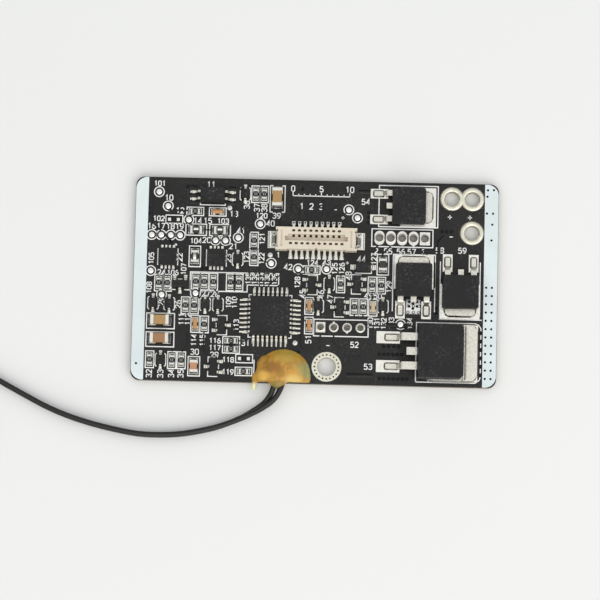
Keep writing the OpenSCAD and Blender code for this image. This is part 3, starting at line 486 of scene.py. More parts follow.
def material_of(name):
    """The finishes that several pieces share, each made once from the panel's colours."""
    if name not in MADE:
        scene = bpy.context.scene
        board, metal, parts = scene.board_finish, scene.metal_finish, scene.parts_finish
        MADE[name] = {
            "mask": lambda: mask_material(board),
            # Near black, used mostly as painted shade in holes, via dimples and gaps.
            "via": lambda: mould_material("Near Black And Painted Hole Shade", NEAR_BLACK_AND_HOLE_SHADE, 0.75, 0.2, 0.0),
            "faint print": lambda: print_material("Faint Ink", FAINT_INK),
            "strip": lambda: print_material("Strip Ink", board.strip_colour),
            "print": lambda: print_material("Legend Ink", board.print_colour),
            "land": lambda: tin_material("Levelled Tin", metal.land_colour, 0.24, 0.4, 0.02, 0.7),
            "ring": lambda: tin_material("Ring Tin", metal.ring_colour, 0.24, 0.4, 0.02, 0.7),
            "lead": lambda: tin_material("Plated Leads", metal.lead_colour, 0.3, 0.45, 0.006, 0.3),
            "solder": lambda: tin_material("Solder", metal.solder_colour, 0.16, 0.3, 0.012, 0.35),
            "end": lambda: tin_material("Plated Ends", metal.end_colour, 0.26, 0.42, 0.01, 0.25),
            "grey end": lambda: tin_material("Fired Ends", FIRED_END, 0.26, 0.42, 0.012, 0.22),
            "contact": lambda: contact_material(metal),
            "rim": lambda: tin_material("Painted Header Hole Shade", HEADER_HOLE_SHADE, 0.3, 0.45, 0.01, 0.3),
            "lining": lambda: tin_material("Hole Lining", LINING_TIN, 0.35, 0.5, 0.01, 0.15),
            "dome": lambda: tin_material("Bright Tin And Painted Light", BRIGHT_TIN_AND_LIGHT, 0.12, 0.3, 0.008, 0.5),
            "mould": lambda: mould_material("Moulding Compound", parts.mould_colour, 0.5),
            "power mould": lambda: mould_material("Power Moulding", parts.power_colour, 0.56,
                                                  0.12),
            "nylon": lambda: nylon_material(parts),
            "coat": lambda: mould_material("Resistor Glaze", parts.resistor_colour, 0.26, 0.2,
                                           0.05),
        }[name]()
    return MADE[name]


# ---------------------------------------------------------------- panel values

def colour_property(name, description, default):
    """A colour on the panel."""
    return bpy.props.FloatVectorProperty(name=name, description=description, subtype="COLOR",
                                         size=3, min=0.0, max=1.0, default=default)


def length_property(name, description, millimetres, low, high):
    """A length on the panel, given in millimetres."""
    return bpy.props.FloatProperty(name=name, description=description, subtype="DISTANCE",
                                   unit="LENGTH", default=millimetres * MM, min=low * MM,
                                   max=high * MM, precision=5)


class BoardFinish(bpy.types.PropertyGroup):
    """Mask, laminate and legend of the board."""
    mask_colour: colour_property("Mask", "Solder mask", (0.006, 0.006, 0.0055))
    laminate_colour: colour_property("Laminate", "Glass laminate at the cut edges",
                                     (0.2, 0.15, 0.075))
    print_colour: colour_property("Legend", "White legend ink", (0.93, 0.93, 0.9))
    strip_colour: colour_property("Strips", "White ink of the edge strips", (0.73, 0.805, 0.81))
    stroke_width: length_property("Stroke Width", "Width of the legend's lines", 0.19, 0.08, 0.3)
    stroke_height: length_property("Stroke Height", "Height of the legend's lines", 0.02, 0.01,
                                   0.05)
    number_height: length_property("Number Height", "Height of the small numbers", 0.92, 0.5, 1.5)
    track_height: length_property("Track Height", "Rise of the mask over a track", 0.022, 0.01,
                                  0.05)


class MetalFinish(bpy.types.PropertyGroup):
    """Colours of the lands, leads, part ends and solder."""
    land_colour: colour_property("Lands", "Tinned lands", (0.88, 0.86, 0.79))
    ring_colour: colour_property("Wire Rings", "Tinned rings round the wire bores",
                                 (0.8, 0.765, 0.63))
    lead_colour: colour_property("Leads", "Plated leads and tabs", (0.74, 0.715, 0.635))
    end_colour: colour_property("Part Ends", "Plated ends of chip parts", (0.86, 0.84, 0.77))
    solder_colour: colour_property("Solder", "Solder at the joints", (0.32, 0.31, 0.29))


class PartsFinish(bpy.types.PropertyGroup):
    """Colours of the parts on the board."""
    mould_colour: colour_property("Moulding", "Epoxy bodies", (0.006, 0.006, 0.006))
    power_colour: colour_property("Power Moulding", "Bodies of the power parts",
                                  (0.006, 0.006, 0.0065))
    nylon_colour: colour_property("Connector", "Nylon housing", (0.74, 0.655, 0.525))
    resistor_colour: colour_property("Resistors", "Resistor glaze", (0.035, 0.036, 0.036))
    small_capacitor_colour: colour_property("Small Capacitors", "Ceramic bodies",
                                            (0.56, 0.29, 0.11))
    large_capacitor_colour: colour_property("Large Capacitors", "Ceramic bodies",
                                            (0.44, 0.265, 0.09))


class LeadFinish(bpy.types.PropertyGroup):
    """The sensor lead and the sealant over its joint."""
    core_diameter: length_property("Wire", "Diameter of one insulated wire", 1.0, 0.6, 1.2)
    split_width: length_property("Split", "Gap between the wires at the sealant", 0.4, 0.0, 0.8)
    lead_colour: colour_property("Insulation", "Lead insulation", (0.007, 0.006, 0.0055))
    bead_colour: colour_property("Bead", "Epoxy bead on the sensor", (0.008, 0.008, 0.009))
    seal_colour: colour_property("Sealant", "Amber sealant", (0.47, 0.25, 0.036))


class StageFinish(bpy.types.PropertyGroup):
    """Floor, light and camera."""
    floor_colour: colour_property("Floor", "Plain pale floor", (0.835, 0.84, 0.825))
    world_strength: bpy.props.FloatProperty(
        name="Overhead Light", description="Strength of the even light from above",
        default=0.95, min=0.0, max=2.0)
    horizon_share: bpy.props.FloatProperty(
        name="Horizon", description="Share of the overhead light that comes from the sides",
        subtype="FACTOR", default=0.22, min=0.0, max=1.0)
    key_power: bpy.props.FloatProperty(
        name="Soft Box", description="Power of the large soft light", subtype="POWER",
        unit="POWER", default=5.0, min=0.0, max=20.0)
    focal_length: bpy.props.FloatProperty(
        name="Focal Length", description="Camera lens", subtype="DISTANCE_CAMERA",
        unit="CAMERA", default=146.992, min=20.0, max=200.0)


FINISHES = {"board_finish": BoardFinish, "metal_finish": MetalFinish, "parts_finish": PartsFinish,
            "lead_finish": LeadFinish, "stage_finish": StageFinish}


# ---------------------------------------------------------------- sensor lead

# Where the lead leaves the sealant, and its route from there: x, y, z and turn of its flat side.
LEAD_EXIT = (-6.1, -18.3)
LEAD_ROUTE = [
    (0, 0, 2.15, 0), (-0.25, -0.8, 2.1, 8), (-0.7, -1.8, 1.95, 20), (-1.5, -2.85, 1.75, 38),
    (-2.6, -3.8, 1.5, 55), (-4, -4.7, 1.3, 68), (-6.1, -5.85, 1.15, 80), (-8.9, -7.05, 1.05, 87),
    (-11.9, -8, 1.02, 90), (-16.3, -8.9, 1.02, 90), (-20.3, -9.2, 1.02, 90),
    (-24.3, -9.1, 1.02, 90), (-28.5, -8.4, 1.02, 90), (-32.5, -7.5, 1.02, 90),
    (-36.5, -6.3, 1.02, 90), (-40.3, -4.8, 1.02, 90), (-44.1, -2.9, 1.02, 90),
    (-47.9, -0.9, 1.02, 90), (-51.1, 0.8, 1.02, 90), (-54.4, 2.4, 1.02, 90), (-57.6, 4, 1.02, 90),
]
COIL_MIDDLE = (LEAD_EXIT[0] - 62.9, LEAD_EXIT[1] - 7.7)
# Turns of the coil: (degrees round it, radius); the last one leads into the bead.
COIL_TURNS = [(65.6, 12.84), (105, 11.75), (330, 11.75), (380, 10.5), (690, 10.5), (740, 9.3),
              (805.6, 8.66)]
COIL_STEP = 9
LYING, ON_EDGE = 1.02, 90         # height and turn of the lead where it lies on the floor
BEAD_WAY = Vector((-0.982, -0.191))
SPLIT_STEPS = 14                  # route steps over which the two wires come together


def smooth_route(points, steps):
    """Catmull-Rom points through the given ones, any number of values each."""
    route = []
    for i in range(len(points) - 1):
        a = points[max(i - 1, 0)]
        b, c = points[i], points[i + 1]
        d = points[min(i + 2, len(points) - 1)]
        for k in range(steps):
            t = k / steps
            route.append(tuple(
                0.5 * (2 * q + (r - p) * t + (2 * p - 5 * q + 4 * r - s) * t * t
                       + (3 * q - p - 3 * r + s) * t ** 3)
                for p, q, r, s in zip(a, b, c, d)))
    return route + [tuple(points[-1])]


def lead_route():
    """The lead's middle line from the sealant into the bead, with its turn, in millimetres."""
    x, y = LEAD_EXIT
    inside = [(x + 0.1, y + 1.2, 2.05, 0)]
    free = inside + [(x + p[0], y + p[1], p[2], p[3]) for p in LEAD_ROUTE]
    route = smooth_route(free, 3)
    turn = COIL_TURNS[0][0]
    while turn <= COIL_TURNS[-1][0]:
        for (a, first), (b, last) in zip(COIL_TURNS, COIL_TURNS[1:]):
            if a <= turn <= b:
                share = (turn - a) / (b - a)
                radius = first + (last - first) * share * share * (3 - 2 * share)
        angle = math.radians(turn)
        if turn > COIL_TURNS[0][0] + COIL_STEP / 2:
            route.append((COIL_MIDDLE[0] + radius * math.cos(angle),
                          COIL_MIDDLE[1] + radius * math.sin(angle), LYING, ON_EDGE))
        turn += COIL_STEP
    end = Vector(route[-1][:2])
    for reach in (1.2, 2.3):
        point = end + BEAD_WAY * reach
        route.append((point.x, point.y, LYING + 0.08 * reach, ON_EDGE))
    return route


def sweep_wire(bm, route, side, radius, split):
    """Sweeps one of the two wires along the route: side is -1 or 1, split their first gap."""
    ring = [bm.verts.new((side * radius + radius * math.cos(math.pi * k / 5),
                          radius * math.sin(math.pi * k / 5), 0)) for k in range(10)]
    edges = [bm.edges.new((ring[k - 1], ring[k])) for k in range(10)]
    bmesh.ops.holes_fill(bm, edges=edges, sides=0)
    before = Matrix.Identity(4)
    for i, point in enumerate(route):
        ahead = (Vector(route[min(i + 1, len(route) - 1)][:3])
                 - Vector(route[max(i - 1, 0)][:3])).normalized()
        aside = Vector((0, 0, 1)).cross(ahead).normalized()
        above = ahead.cross(aside)
        roll = math.radians(point[3])
        across = math.cos(roll) * aside + math.sin(roll) * above
        through = math.cos(roll) * above - math.sin(roll) * aside
        apart = max(0, 0.5 * split * (1 - i / SPLIT_STEPS))
        now = (Matrix.Translation(point[:3])
               @ Matrix((across, through, ahead)).transposed().to_4x4()
               @ Matrix.Translation((side * apart, 0, 0)))
        if i:
            grown = bmesh.ops.extrude_edge_only(bm, edges=edges)["geom"]
            ring = [g for g in grown if isinstance(g, bmesh.types.BMVert)]
            edges = [g for g in grown if isinstance(g, bmesh.types.BMEdge)
                     and all(v in ring for v in g.verts)]
        bmesh.ops.transform(bm, matrix=now @ before.inverted(), verts=ring)
        before = now
    bmesh.ops.holes_fill(bm, edges=edges, sides=0)


class BOARD_OT_sensor_lead(bpy.types.Operator):
    """Sweeps the twin lead along its route and winds the rest of it in a coil"""
    bl_idname = "battery_board.sensor_lead"
    bl_label = "Sensor Lead"

    def execute(self, context):
        s = context.scene.lead_finish
        route = lead_route()
        bm = bmesh.new()
        for side in (-1, 1):
            sweep_wire(bm, route, side, s.core_diameter / MM / 2, s.split_width / MM)
        lead = piece_from(bm, "twin_sensor_lead", lead_material(s))
        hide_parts("sensor_lead", "lead_coil")
        dress(mould_material("Bead Epoxy", s.bead_colour, 0.3, 0.3, 0.1), "sensor_bead")
        return {"FINISHED"}


# ---------------------------------------------------------------- legend and mask

# Strokes of the plain figures, in a box 0.6 wide and 1 high.
FIGURES = {
    "0": [[(0.12, 0), (0, 0.18), (0, 0.82), (0.12, 1), (0.48, 1), (0.6, 0.82), (0.6, 0.18),
           (0.48, 0), (0.12, 0)]],
    "1": [[(0.12, 0.8), (0.36, 1), (0.36, 0)]],
    "2": [[(0, 0.8), (0.14, 1), (0.46, 1), (0.6, 0.82), (0.56, 0.58), (0, 0), (0.6, 0)]],
    "3": [[(0, 0.86), (0.14, 1), (0.46, 1), (0.59, 0.86), (0.59, 0.68), (0.44, 0.53), (0.22, 0.53)],
          [(0.44, 0.53), (0.6, 0.38), (0.6, 0.16), (0.46, 0), (0.13, 0), (0, 0.14)]],
    "4": [[(0.46, 0), (0.46, 1), (0, 0.3), (0.62, 0.3)]],
    "5": [[(0.56, 1), (0.08, 1), (0.04, 0.56), (0.42, 0.6), (0.6, 0.44), (0.6, 0.16), (0.45, 0),
           (0.12, 0), (0, 0.12)]],
    "6": [[(0.52, 0.97), (0.25, 0.95), (0.02, 0.6), (0, 0.18), (0.13, 0), (0.47, 0), (0.6, 0.16),
           (0.6, 0.4), (0.47, 0.55), (0.14, 0.55), (0.01, 0.4)]],
    "7": [[(0, 1), (0.6, 1), (0.22, 0)]],
    "8": [[(0.14, 0.53), (0.02, 0.67), (0.02, 0.86), (0.14, 1), (0.46, 1), (0.58, 0.86),
           (0.58, 0.67), (0.46, 0.53), (0.14, 0.53), (0, 0.37), (0, 0.15), (0.13, 0), (0.47, 0),
           (0.6, 0.15), (0.6, 0.37), (0.46, 0.53)]],
    "9": [[(0.08, 0.03), (0.35, 0.05), (0.58, 0.4), (0.6, 0.82), (0.47, 1), (0.13, 1), (0, 0.84),
           (0, 0.6), (0.13, 0.45), (0.46, 0.45), (0.59, 0.6)]],
    "+": [[(0, 0.5), (0.6, 0.5)], [(0.3, 0.2), (0.3, 0.8)]],
    "-": [[(0.05, 0.5), (0.55, 0.5)]],
}
FIGURE_PITCH = 0.86

# Places of the small numbers: x, y, count of figures, turned or level.
NUMBER_PLACES = [
    (-27.85, 16.85, 3, 0), (-26.15, 14.35, 2, 0), (-18.8, 16.85, 2, 0), (-24.15, 12.1, 2, 0),
    (-14.65, 11.7, 2, 0), (-27.85, 10.6, 3, 0), (-20.98, 10.35, 2, 0), (-19.2, 10.38, 2, 0),
    (-16.5, 10.38, 3, 0), (-29.05, 9.25, 2, 0), (-27.45, 9.25, 2, 0), (-25.75, 9.25, 2, 0),
    (-24.15, 9.25, 2, 0), (-21.2, 6.75, 3, 0), (-19.3, 6.95, 2, 0), (-14.6, 5.95, 2, 0),
    (-24.0, 3.8, 2, 1), (-15.4, 3.8, 2, 1), (-28.95, 3.5, 3, 1), (-27.1, 1.05, 2, 0),
    (-25.1, 1.05, 3, 0), (-23.2, 1.7, 3, 1), (-29.2, -1.7, 3, 1), (-26.95, -4.2, 2, 1),
    (-24.0, -4.55, 2, 1), (-19.2, -2.6, 2, 0), (-17.6, -2.6, 2, 0), (-15.15, -4, 3, 1),
    (-14.1, -4, 3, 1), (-23.35, -7.15, 3, 1), (-22.25, -7.15, 3, 1), (-13.7, -8, 3, 1),
    (-21.05, -10.8, 3, 1), (-19.55, -10.8, 3, 1), (-17.35, -10.8, 3, 0), (-17.35, -12.05, 3, 0),
    (-17.4, -13.3, 2, 0), (-20.85, -12.85, 2, 0), (-12.0, -11.1, 2, 0), (-14.95, -14.1, 3, 0),
    (-14.95, -16.25, 3, 0), (-28.75, -16.85, 2, 1), (-26.75, -16.85, 2, 1), (-24.85, -16.75, 2, 1),
    (-23.2, -16.75, 2, 1), (-12.4, 13.35, 2, 1), (-10.6, 12.9, 2, 1), (-9.3, 12.9, 2, 1),
    (-9.75, 11.5, 3, 0), (-7.1, 11.55, 2, 0), (-8.15, 10.15, 2, 0), (-13.3, 8.75, 2, 0),
    (-9.55, 7.4, 3, 1), (-9.55, 3.9, 3, 1), (-12.2, 4.05, 3, 1), (-6.65, 4.6, 1, 0),
    (-4.85, 2.5, 2, 0), (-0.6, 3.35, 3, 0), (1.9, 3.35, 2, 0), (3.35, 2.4, 3, 1),
    (4.6, 2.45, 3, 1), (8.0, 4.15, 2, 0), (10.2, 4.3, 3, 1), (-3.15, -0.2, 3, 1),
    (-2.2, -2.2, 2, 1), (1.05, -2.2, 2, 1), (2.7, -3.0, 2, 1), (5.8, 1.2, 2, 1),
    (12.95, -0.6, 3, 1), (9.4, -2.25, 2, 0), (11.0, -2.25, 2, 0), (-1.0, -10.2, 2, 1),
    (7.1, -10.95, 2, 0), (9.8, -7.1, 3, 1), (10.95, -7.1, 3, 1), (12.15, -7.1, 3, 1),
    (13.5, -7, 3, 1), (16.7, -7, 3, 1), (9.55, -14.75, 2, 0), (8.55, 14.4, 2, 0),
    (10.55, 5.7, 1, 0), (12.65, 5.7, 2, 0), (14.9, 5.7, 2, 0), (16.8, 5.7, 2, 0),
    (18.9, 5.7, 1, 0), (21.75, 6.05, 2, 0), (25.7, 6.1, 2, 0), (-11.8, 0.3, 3, 1),
    (-10.7, 0.3, 3, 1), (-9.6, 0.3, 3, 1), (-8.5, 0.3, 3, 1), (-7.2, 0.3, 3, 1),
]
SIGNS = [(5.55, 3.45, "+", 0.85), (10.1, 2.55, "-", 0.85), (2.45, -11.2, "-", 1.15),
         (3.25, 12.87, "-", 0.9), (4.6, 11.45, "+", 0.9), (23.4, 12, "+", 1.2),
         (26.95, 12, "+", 1.2), (23.7, 8.5, "-", 1.2)]
SCALE_START = (-4.3, 15.35)       # a plain millimetre scale, ten long
SCALE_LENGTH = 10
NUMBER_ROW = (-1.0, 13.35, "1 2 3")

# Straight and bent outlines of the legend, each a run of points; the last value closes the run.
OUTLINES = [
    ([(-8.3, 12.2), (-8.3, 16.9), (-7.8, 16.9)], False), ([(-8.3, 12.2), (-7.8, 12.2)], False),
    ([(-5.7, 12.2), (-5.7, 16.9), (-6.2, 16.9)], False), ([(-5.7, 12.2), (-6.2, 12.2)], False),
    ([(-29.45, -6.2), (-24.55, -6.2), (-24.55, -8.9), (-29.45, -8.9)], True),
    ([(-29.45, -9.5), (-24.55, -9.5), (-24.55, -12.1), (-29.45, -12.1)], True),
    ([(-21.95, -17.1), (-19.9, -17.1), (-19.9, -13.7), (-21.95, -13.7)], True),
    ([(-20.6, 13.5), (-20.6, 13.2), (-16.2, 13.2), (-16.2, 13.5)], False),
    ([(9.75, 6.5), (20.5, 6.5), (20.5, 9.65), (9.75, 9.65)], True),
    ([(-0.1, -9.55), (9.45, -9.55), (9.45, -6.6), (-0.1, -6.6)], True),
    ([(17.9, -17.2), (17.9, -6.75), (28.2, -6.75), (28.8, -7.0), (29.2, -7.6), (29.2, -8.0)],
     False),
    *[([(29.2, -8.75 - 1.48 * i), (29.2, -9.5 - 1.48 * i)], False) for i in range(5)],
    ([(29.2, -16.15), (29.0, -16.7), (28.3, -17.2), (17.9, -17.2)], False),
    ([(10.9, 10.05), (21.3, 10.05), (21.3, 17.4), (10.9, 17.4)], True),
    ([(13.6, -4.9), (13.6, 5.2), (21.0, 5.2), (21.0, -4.9)], False),
    ([(21.9, 4.1), (21.9, -6.1), (29.3, -6.1)], False), ([(28.9, 4.1), (28.9, -5.5)], False),
    ([(6.95, 1.7), (9.8, 1.7), (9.8, 2.2)], False),
    ([(-22, 1.25), (-6.45, 1.25), (-6.45, -0.85), (-11.95, -0.85), (-11.95, -2.1), (-22, -2.1)],
     True),
    ([(-10.4, -14), (-10.4, -17)], False),
]
# Printed dots: middle and radius.
DOTS = [(-15.4, 12.75, 0.42), (-8.05, 4.55, 0.42), (-3.3, -10.9, 0.42), (-24.7, 6.0, 0.22)]
PATCH = (16.0, 18.5, -5.3, -2.75)  # printed patch between two leads: its sides, front and back
PATCH_DOTS = [(16.55, -3.15), (17.22, -3.5), (17.9, -3.15), (16.55, -3.95), (17.92, -3.95),
              (17.2, -4.33)]
# Half lengths and widths of the outlines round small and middle-sized chip parts, and the
# middles of the small outlines that stand empty.
SMALL_OUTLINE, MIDDLE_OUTLINE = (1.48, 0.73), (1.83, 1.0)
EMPTY_OUTLINES = [(-25.1, 10.5), (-12.15, -13.85)]
CORNER_MARKS = 3.75               # from the controller's middle to its printed corners
POINT_RING = 0.87                 # radius of the printed ring round a test point
DASHED_VIAS = [(29.25, -8.4 - 1.48 * i) for i in range(6)]
# Runs of vias covered by the mask: first x and y, step in x and y, count.
VIA_RUNS = [
    (11.5, -12.5, 0.78, 0, 6), (11.6, -16.8, 0.8, 0, 7), (16.35, -5.0, 0.95, 0, 3),
    (16.35, -3.9, 0.95, 0, 3), (-15.6, 8.3, 0, -0.9, 3), (-22.9, 16.4, 0.9, 0, 2),
    (-3.4, -12.6, 0.7, 0.1, 2), (4.2, 8.6, 0, 0, 1), (12.2, -11.1, 0.9, 0, 4),
    (22.1, 9.4, 0.8, 0, 3), (-29.6, 12.4, 0, -0.9, 2), (-18.3, 1.9, -0.8, 0, 3),
    (9.1, 10.7, 0, 0.9, 3), (-4.2, -4.3, 0, -0.8, 3), (21.3, -4.2, 0, -0.8, 2),
    (-11.2, -8.4, 0, -0.8, 2), (13.2, 12.2, 0, 1, 2), (-2.6, 16.4, 0.8, 0, 1),
]
# Tracks under the mask: width, then the points that each runs through.
TRACKS = [
    (0.3, [(-28.9, 13.6), (-28.9, 9.9), (-25.4, 6.4), (-25.4, 5.6)]),
    (0.3, [(-26.3, 12.1), (-22.6, 12.1)]), (0.3, [(-15.4, 16.1), (-13.6, 16.1), (-12.9, 16.7)]),
    (0.25, [(-22.4, 9.6), (-22.4, 11.3)]), (0.25, [(-19.9, 8.75), (-18.3, 8.75)]),
    (0.25, [(-15.6, 9.4), (-14.4, 10.6), (-14.4, 13.9)]),
    (0.25, [(-12.9, 9.2), (-12.2, 8.5), (-11.6, 8.5)]),
    (0.25, [(-27.35, 6.9), (-27.35, 6.0), (-27.0, 5.65)]), (0.25, [(-25.65, 6.9), (-25.65, 5.7)]),
    (0.25, [(-20.4, -1.6), (-20.4, -3.4)]), (0.25, [(-17.9, -1.6), (-17.0, -2.5), (-17.0, -3.4)]),
    (0.2, [(-12.1, -9.1), (-13.6, -9.1), (-15.4, -7.3)]),
    (0.2, [(-12.1, -3.5), (-13.3, -3.5), (-14.1, -2.7)]),
    (0.2, [(-10.6, -1.8), (-10.6, -0.9)]), (0.2, [(-9.8, -1.8), (-9.8, 2.2), (-8.6, 3.4)]),
    (0.2, [(-9.0, -1.8), (-9.0, 1.6), (-8.3, 2.3)]),
    (0.2, [(-8.2, -1.8), (-8.2, -0.9), (-5.4, 1.9)]),
    (0.2, [(-7.4, -1.8), (-4.2, 1.4), (-1.8, 1.4)]), (0.2, [(-3.5, -3.5), (-2.1, -3.5)]),
    (0.2, [(-3.5, -5.1), (-2.1, -5.1)]), (0.2, [(-3.5, -6.7), (-1.9, -6.7), (-1.4, -7.2)]),
    (0.2, [(-3.5, -8.3), (-2.4, -9.4), (-2.4, -11.2), (-1.2, -12.4)]),
    (0.3, [(1.1, -9.2), (1.1, -11.8)]),
    (0.3, [(3.43, -9.1), (3.43, -10.4), (6.1, -13.1), (8.2, -13.1)]),
    (0.25, [(6.95, -5.4), (6.95, -6.2)]), (0.25, [(8.5, -5.4), (8.5, -6.2)]),
    (0.25, [(10.0, -1.5), (10.0, -3.0)]), (0.25, [(4.45, 0.8), (4.45, 1.7)]),
    (0.3, [(11.1, 6.9), (9.6, 5.4), (5.2, 5.4)]), (0.3, [(13.1, 6.6), (11.7, 5.2), (11.7, 4.4)]),
    (0.3, [(19.1, 6.4), (19.1, 5.6), (20.9, 3.8), (20.9, -0.6)]),
    (0.6, [(22.6, 8.6), (21.6, 7.6), (21.6, 5.4)]), (0.8, [(7.2, 16.1), (9.6, 16.1)]),
    (0.9, [(12.5, -7.4), (16.4, -7.4)]), (0.9, [(5.8, -16.4), (10.4, -16.4)]),
    (0.3, [(-5.0, 9.6), (-6.4, 9.6), (-6.4, 11.0)]), (0.25, [(-4.5, 12.2), (-4.5, 14.4)]),
    (0.25, [(-3.1, 11.6), (-3.1, 12.6), (-4.2, 13.7)]), (0.25, [(1.0, 11.6), (1.0, 14.6)]),
    (0.25, [(2.0, 11.6), (2.0, 12.2), (5.0, 14.4)]), (0.25, [(3.0, 11.6), (5.2, 12.3)]),
    (0.3, [(-24.8, -12.9), (-24.8, -12.4)]),
    (0.3, [(-23.1, -12.9), (-22.2, -12.0), (-22.2, -9.6)]),
    (0.25, [(-19.3, -9.2), (-19.3, -12.6), (-18.6, -13.3)]),
    (0.25, [(-13.4, -10.75), (-11.6, -10.75)]),
]


def ribbons(name, runs, height, material, base=BOARD_TOP):
    """Low flat lines on the board: each run is (points, width, closed), in millimetres."""
    edge = bpy.data.curves.new(name + " Section", "CURVE")
    side = edge.splines.new("POLY")
    side.points.add(3)
    for point, (x, y) in zip(side.points, ((0.5, 0.5), (-0.5, 0.5), (-0.5, -0.5), (0.5, -0.5))):
        point.co = (x * MM, y * MM, 0, 1)
    side.use_cyclic_u = True
    section = bpy.data.objects.new(edge.name, edge)
    curve = bpy.data.curves.new(name, "CURVE")
    curve.dimensions, curve.fill_mode = "2D", "NONE"
    curve.bevel_mode, curve.bevel_object, curve.use_fill_caps = "OBJECT", section, True
    for points, width, closed in runs:
        spline = curve.splines.new("POLY")
        spline.points.add(len(points) - 1)
        for point, (x, y) in zip(spline.points, points):
            point.co, point.radius = (x * MM, y * MM, 0, 1), width
        spline.use_cyclic_u = closed
    drawn = bpy.data.objects.new(name, curve)
    for item in (section, drawn):
        bpy.context.scene.collection.objects.link(item)
    shape = drawn.evaluated_get(bpy.context.evaluated_depsgraph_get())
    mesh = bpy.data.meshes.new_from_object(shape)
    mesh.name = name
    for item in (drawn, section):
        bpy.data.objects.remove(item)
    for vertex in mesh.vertices:
        vertex.co.z = (base + (height if vertex.co.z > 0 else -0.01)) * MM
    return new_piece(name, mesh, material)


def ring_points(x, y, radius, count=20):
    """Points on a circle round a middle point."""
    return [(x + radius * math.cos(2 * math.pi * i / count),
             y + radius * math.sin(2 * math.pi * i / count)) for i in range(count)]


def written(text, x, y, height, turned=False):
    """The strokes of some figures round a middle point, level or turned to read upwards."""
    width = FIGURE_PITCH * (len(text) - 1) + 0.6
    runs = []
    for i, figure in enumerate(text):
        for run in FIGURES.get(figure, []):
            points = [((px + i * FIGURE_PITCH - width / 2) * height, (py - 0.5) * height)
                      for px, py in run]
            runs.append([(x - py, y + px) if turned else (x + px, y + py) for px, py in points])
    return runs


def rectangle(x, y, half_x, half_y):
    """A closed outline round a middle point."""
    return ([(x - half_x, y - half_y), (x + half_x, y - half_y),
             (x + half_x, y + half_y), (x - half_x, y + half_y)], True)


def chip_outlines():
    """Rectangles round the chip resistors and the small capacitors, and round empty places."""
    runs = []
    chips = [(SMALL_OUTLINE, solids("small_resistors", "small_capacitors")),
             (MIDDLE_OUTLINE, solids("middle_resistors"))]
    for (along, across), boxes in chips:
        for box in boxes:
            size, at = box[1] - box[0], middle(box)
            level = size.x > size.y
            runs.append(rectangle(at.x, at.y, *((along, across) if level else (across, along))))
    return runs + [rectangle(x, y, *SMALL_OUTLINE) for x, y in EMPTY_OUTLINES]


def diode_outlines():
    """Brackets at both ends of each small diode."""
    runs = []
    for box in solids("small_diodes"):
        at, half = middle(box), (box[1] - box[0]) / 2
        for s in (-1, 1):
            x = at.x + s * (half.x + 0.3)
            runs.append(([(x - s * 0.25, at.y - 1.15), (x, at.y - 0.9), (x, at.y + 0.9),
                          (x - s * 0.25, at.y + 1.15)], False))
    return runs


def transistor_outlines():
    """Corners round the lone lead of each signal transistor, and a dash between the other two."""
    runs = []
    leads = tips(["signal_leads"], SIGNAL_BODIES)
    for body in SIGNAL_BODIES:
        at = middle(solids(body)[0])
        mine = sorted(leads, key=lambda t: (t[0] - at).length)[:3]
        way = next(t[1] for t in mine if sum(t[1].dot(u[1]) > 0 for u in mine) == 1)
        across = Vector((-way.y, way.x, 0))
        marks = [[(s * 1.7, -0.75), (s * 1.7, 0.95), (s * 0.75, 0.95)] for s in (-1, 1)]
        for mark in marks + [[(-0.4, -0.9), (0.4, -0.9)]]:
            runs.append(([(at + across * a + way * b)[:2] for a, b in mark], False))
    return runs


def package_outlines():
    """Lines beside the flat cell-switch packages and marks at the controller's corners."""
    runs = []
    for body in ("cell_switch_body_1", "cell_switch_body_2"):
        at = middle(solids(body)[0])
        for s in (-1, 1):
            runs.append(([(at.x + s * 1.75, at.y - 1.5), (at.x + s * 1.75, at.y + 1.5)], False))
    at, far, near = middle(solids("controller_body")[0]), CORNER_MARKS, CORNER_MARKS - 0.5
    for i in (-1, 1):
        for j in (-1, 1):
            runs.append(([(at.x + i * a, at.y + j * b)
                          for a, b in ((near, far), (far, far), (far, near))], False))
    return runs


def legend_outlines():
    """Every outline of the legend: those round the parts come from the parts' own places."""
    rings = [(ring_points(x, y, POINT_RING), True) for x, y in ring_places()]
    return (OUTLINES + chip_outlines() + diode_outlines() + transistor_outlines()
            + package_outlines() + rings)


def ring_places():
    """The middle of each domed test point."""
    return [middle(box)[:2] for box in solids("test_points")]


def legend_numbers(height):
    """Every plain number, sign and the millimetre scale."""
    runs, count = [], {1: 1, 2: 10, 3: 101}
    for x, y, figures, turned in NUMBER_PLACES:
        runs += written(str(count[figures]), x, y, height * (0.9 if figures == 3 else 1), turned)
        count[figures] += 1
    for x, y, sign, size in SIGNS:
        runs += written(sign, x, y, size)
    x, y = SCALE_START
    for i in range(SCALE_LENGTH + 1):
        runs.append([(x + i, y - 0.15), (x + i, y + (0.5 if i % 5 == 0 else 0.2))])
    runs.append([(x, y - 0.15), (x + SCALE_LENGTH, y - 0.15)])
    for i in range(0, SCALE_LENGTH + 1, 5):
        runs += written(str(i), x + i, y + 1.12, 0.95)
    x, y, text = NUMBER_ROW
    return runs + written(text, x, y, 1.0)


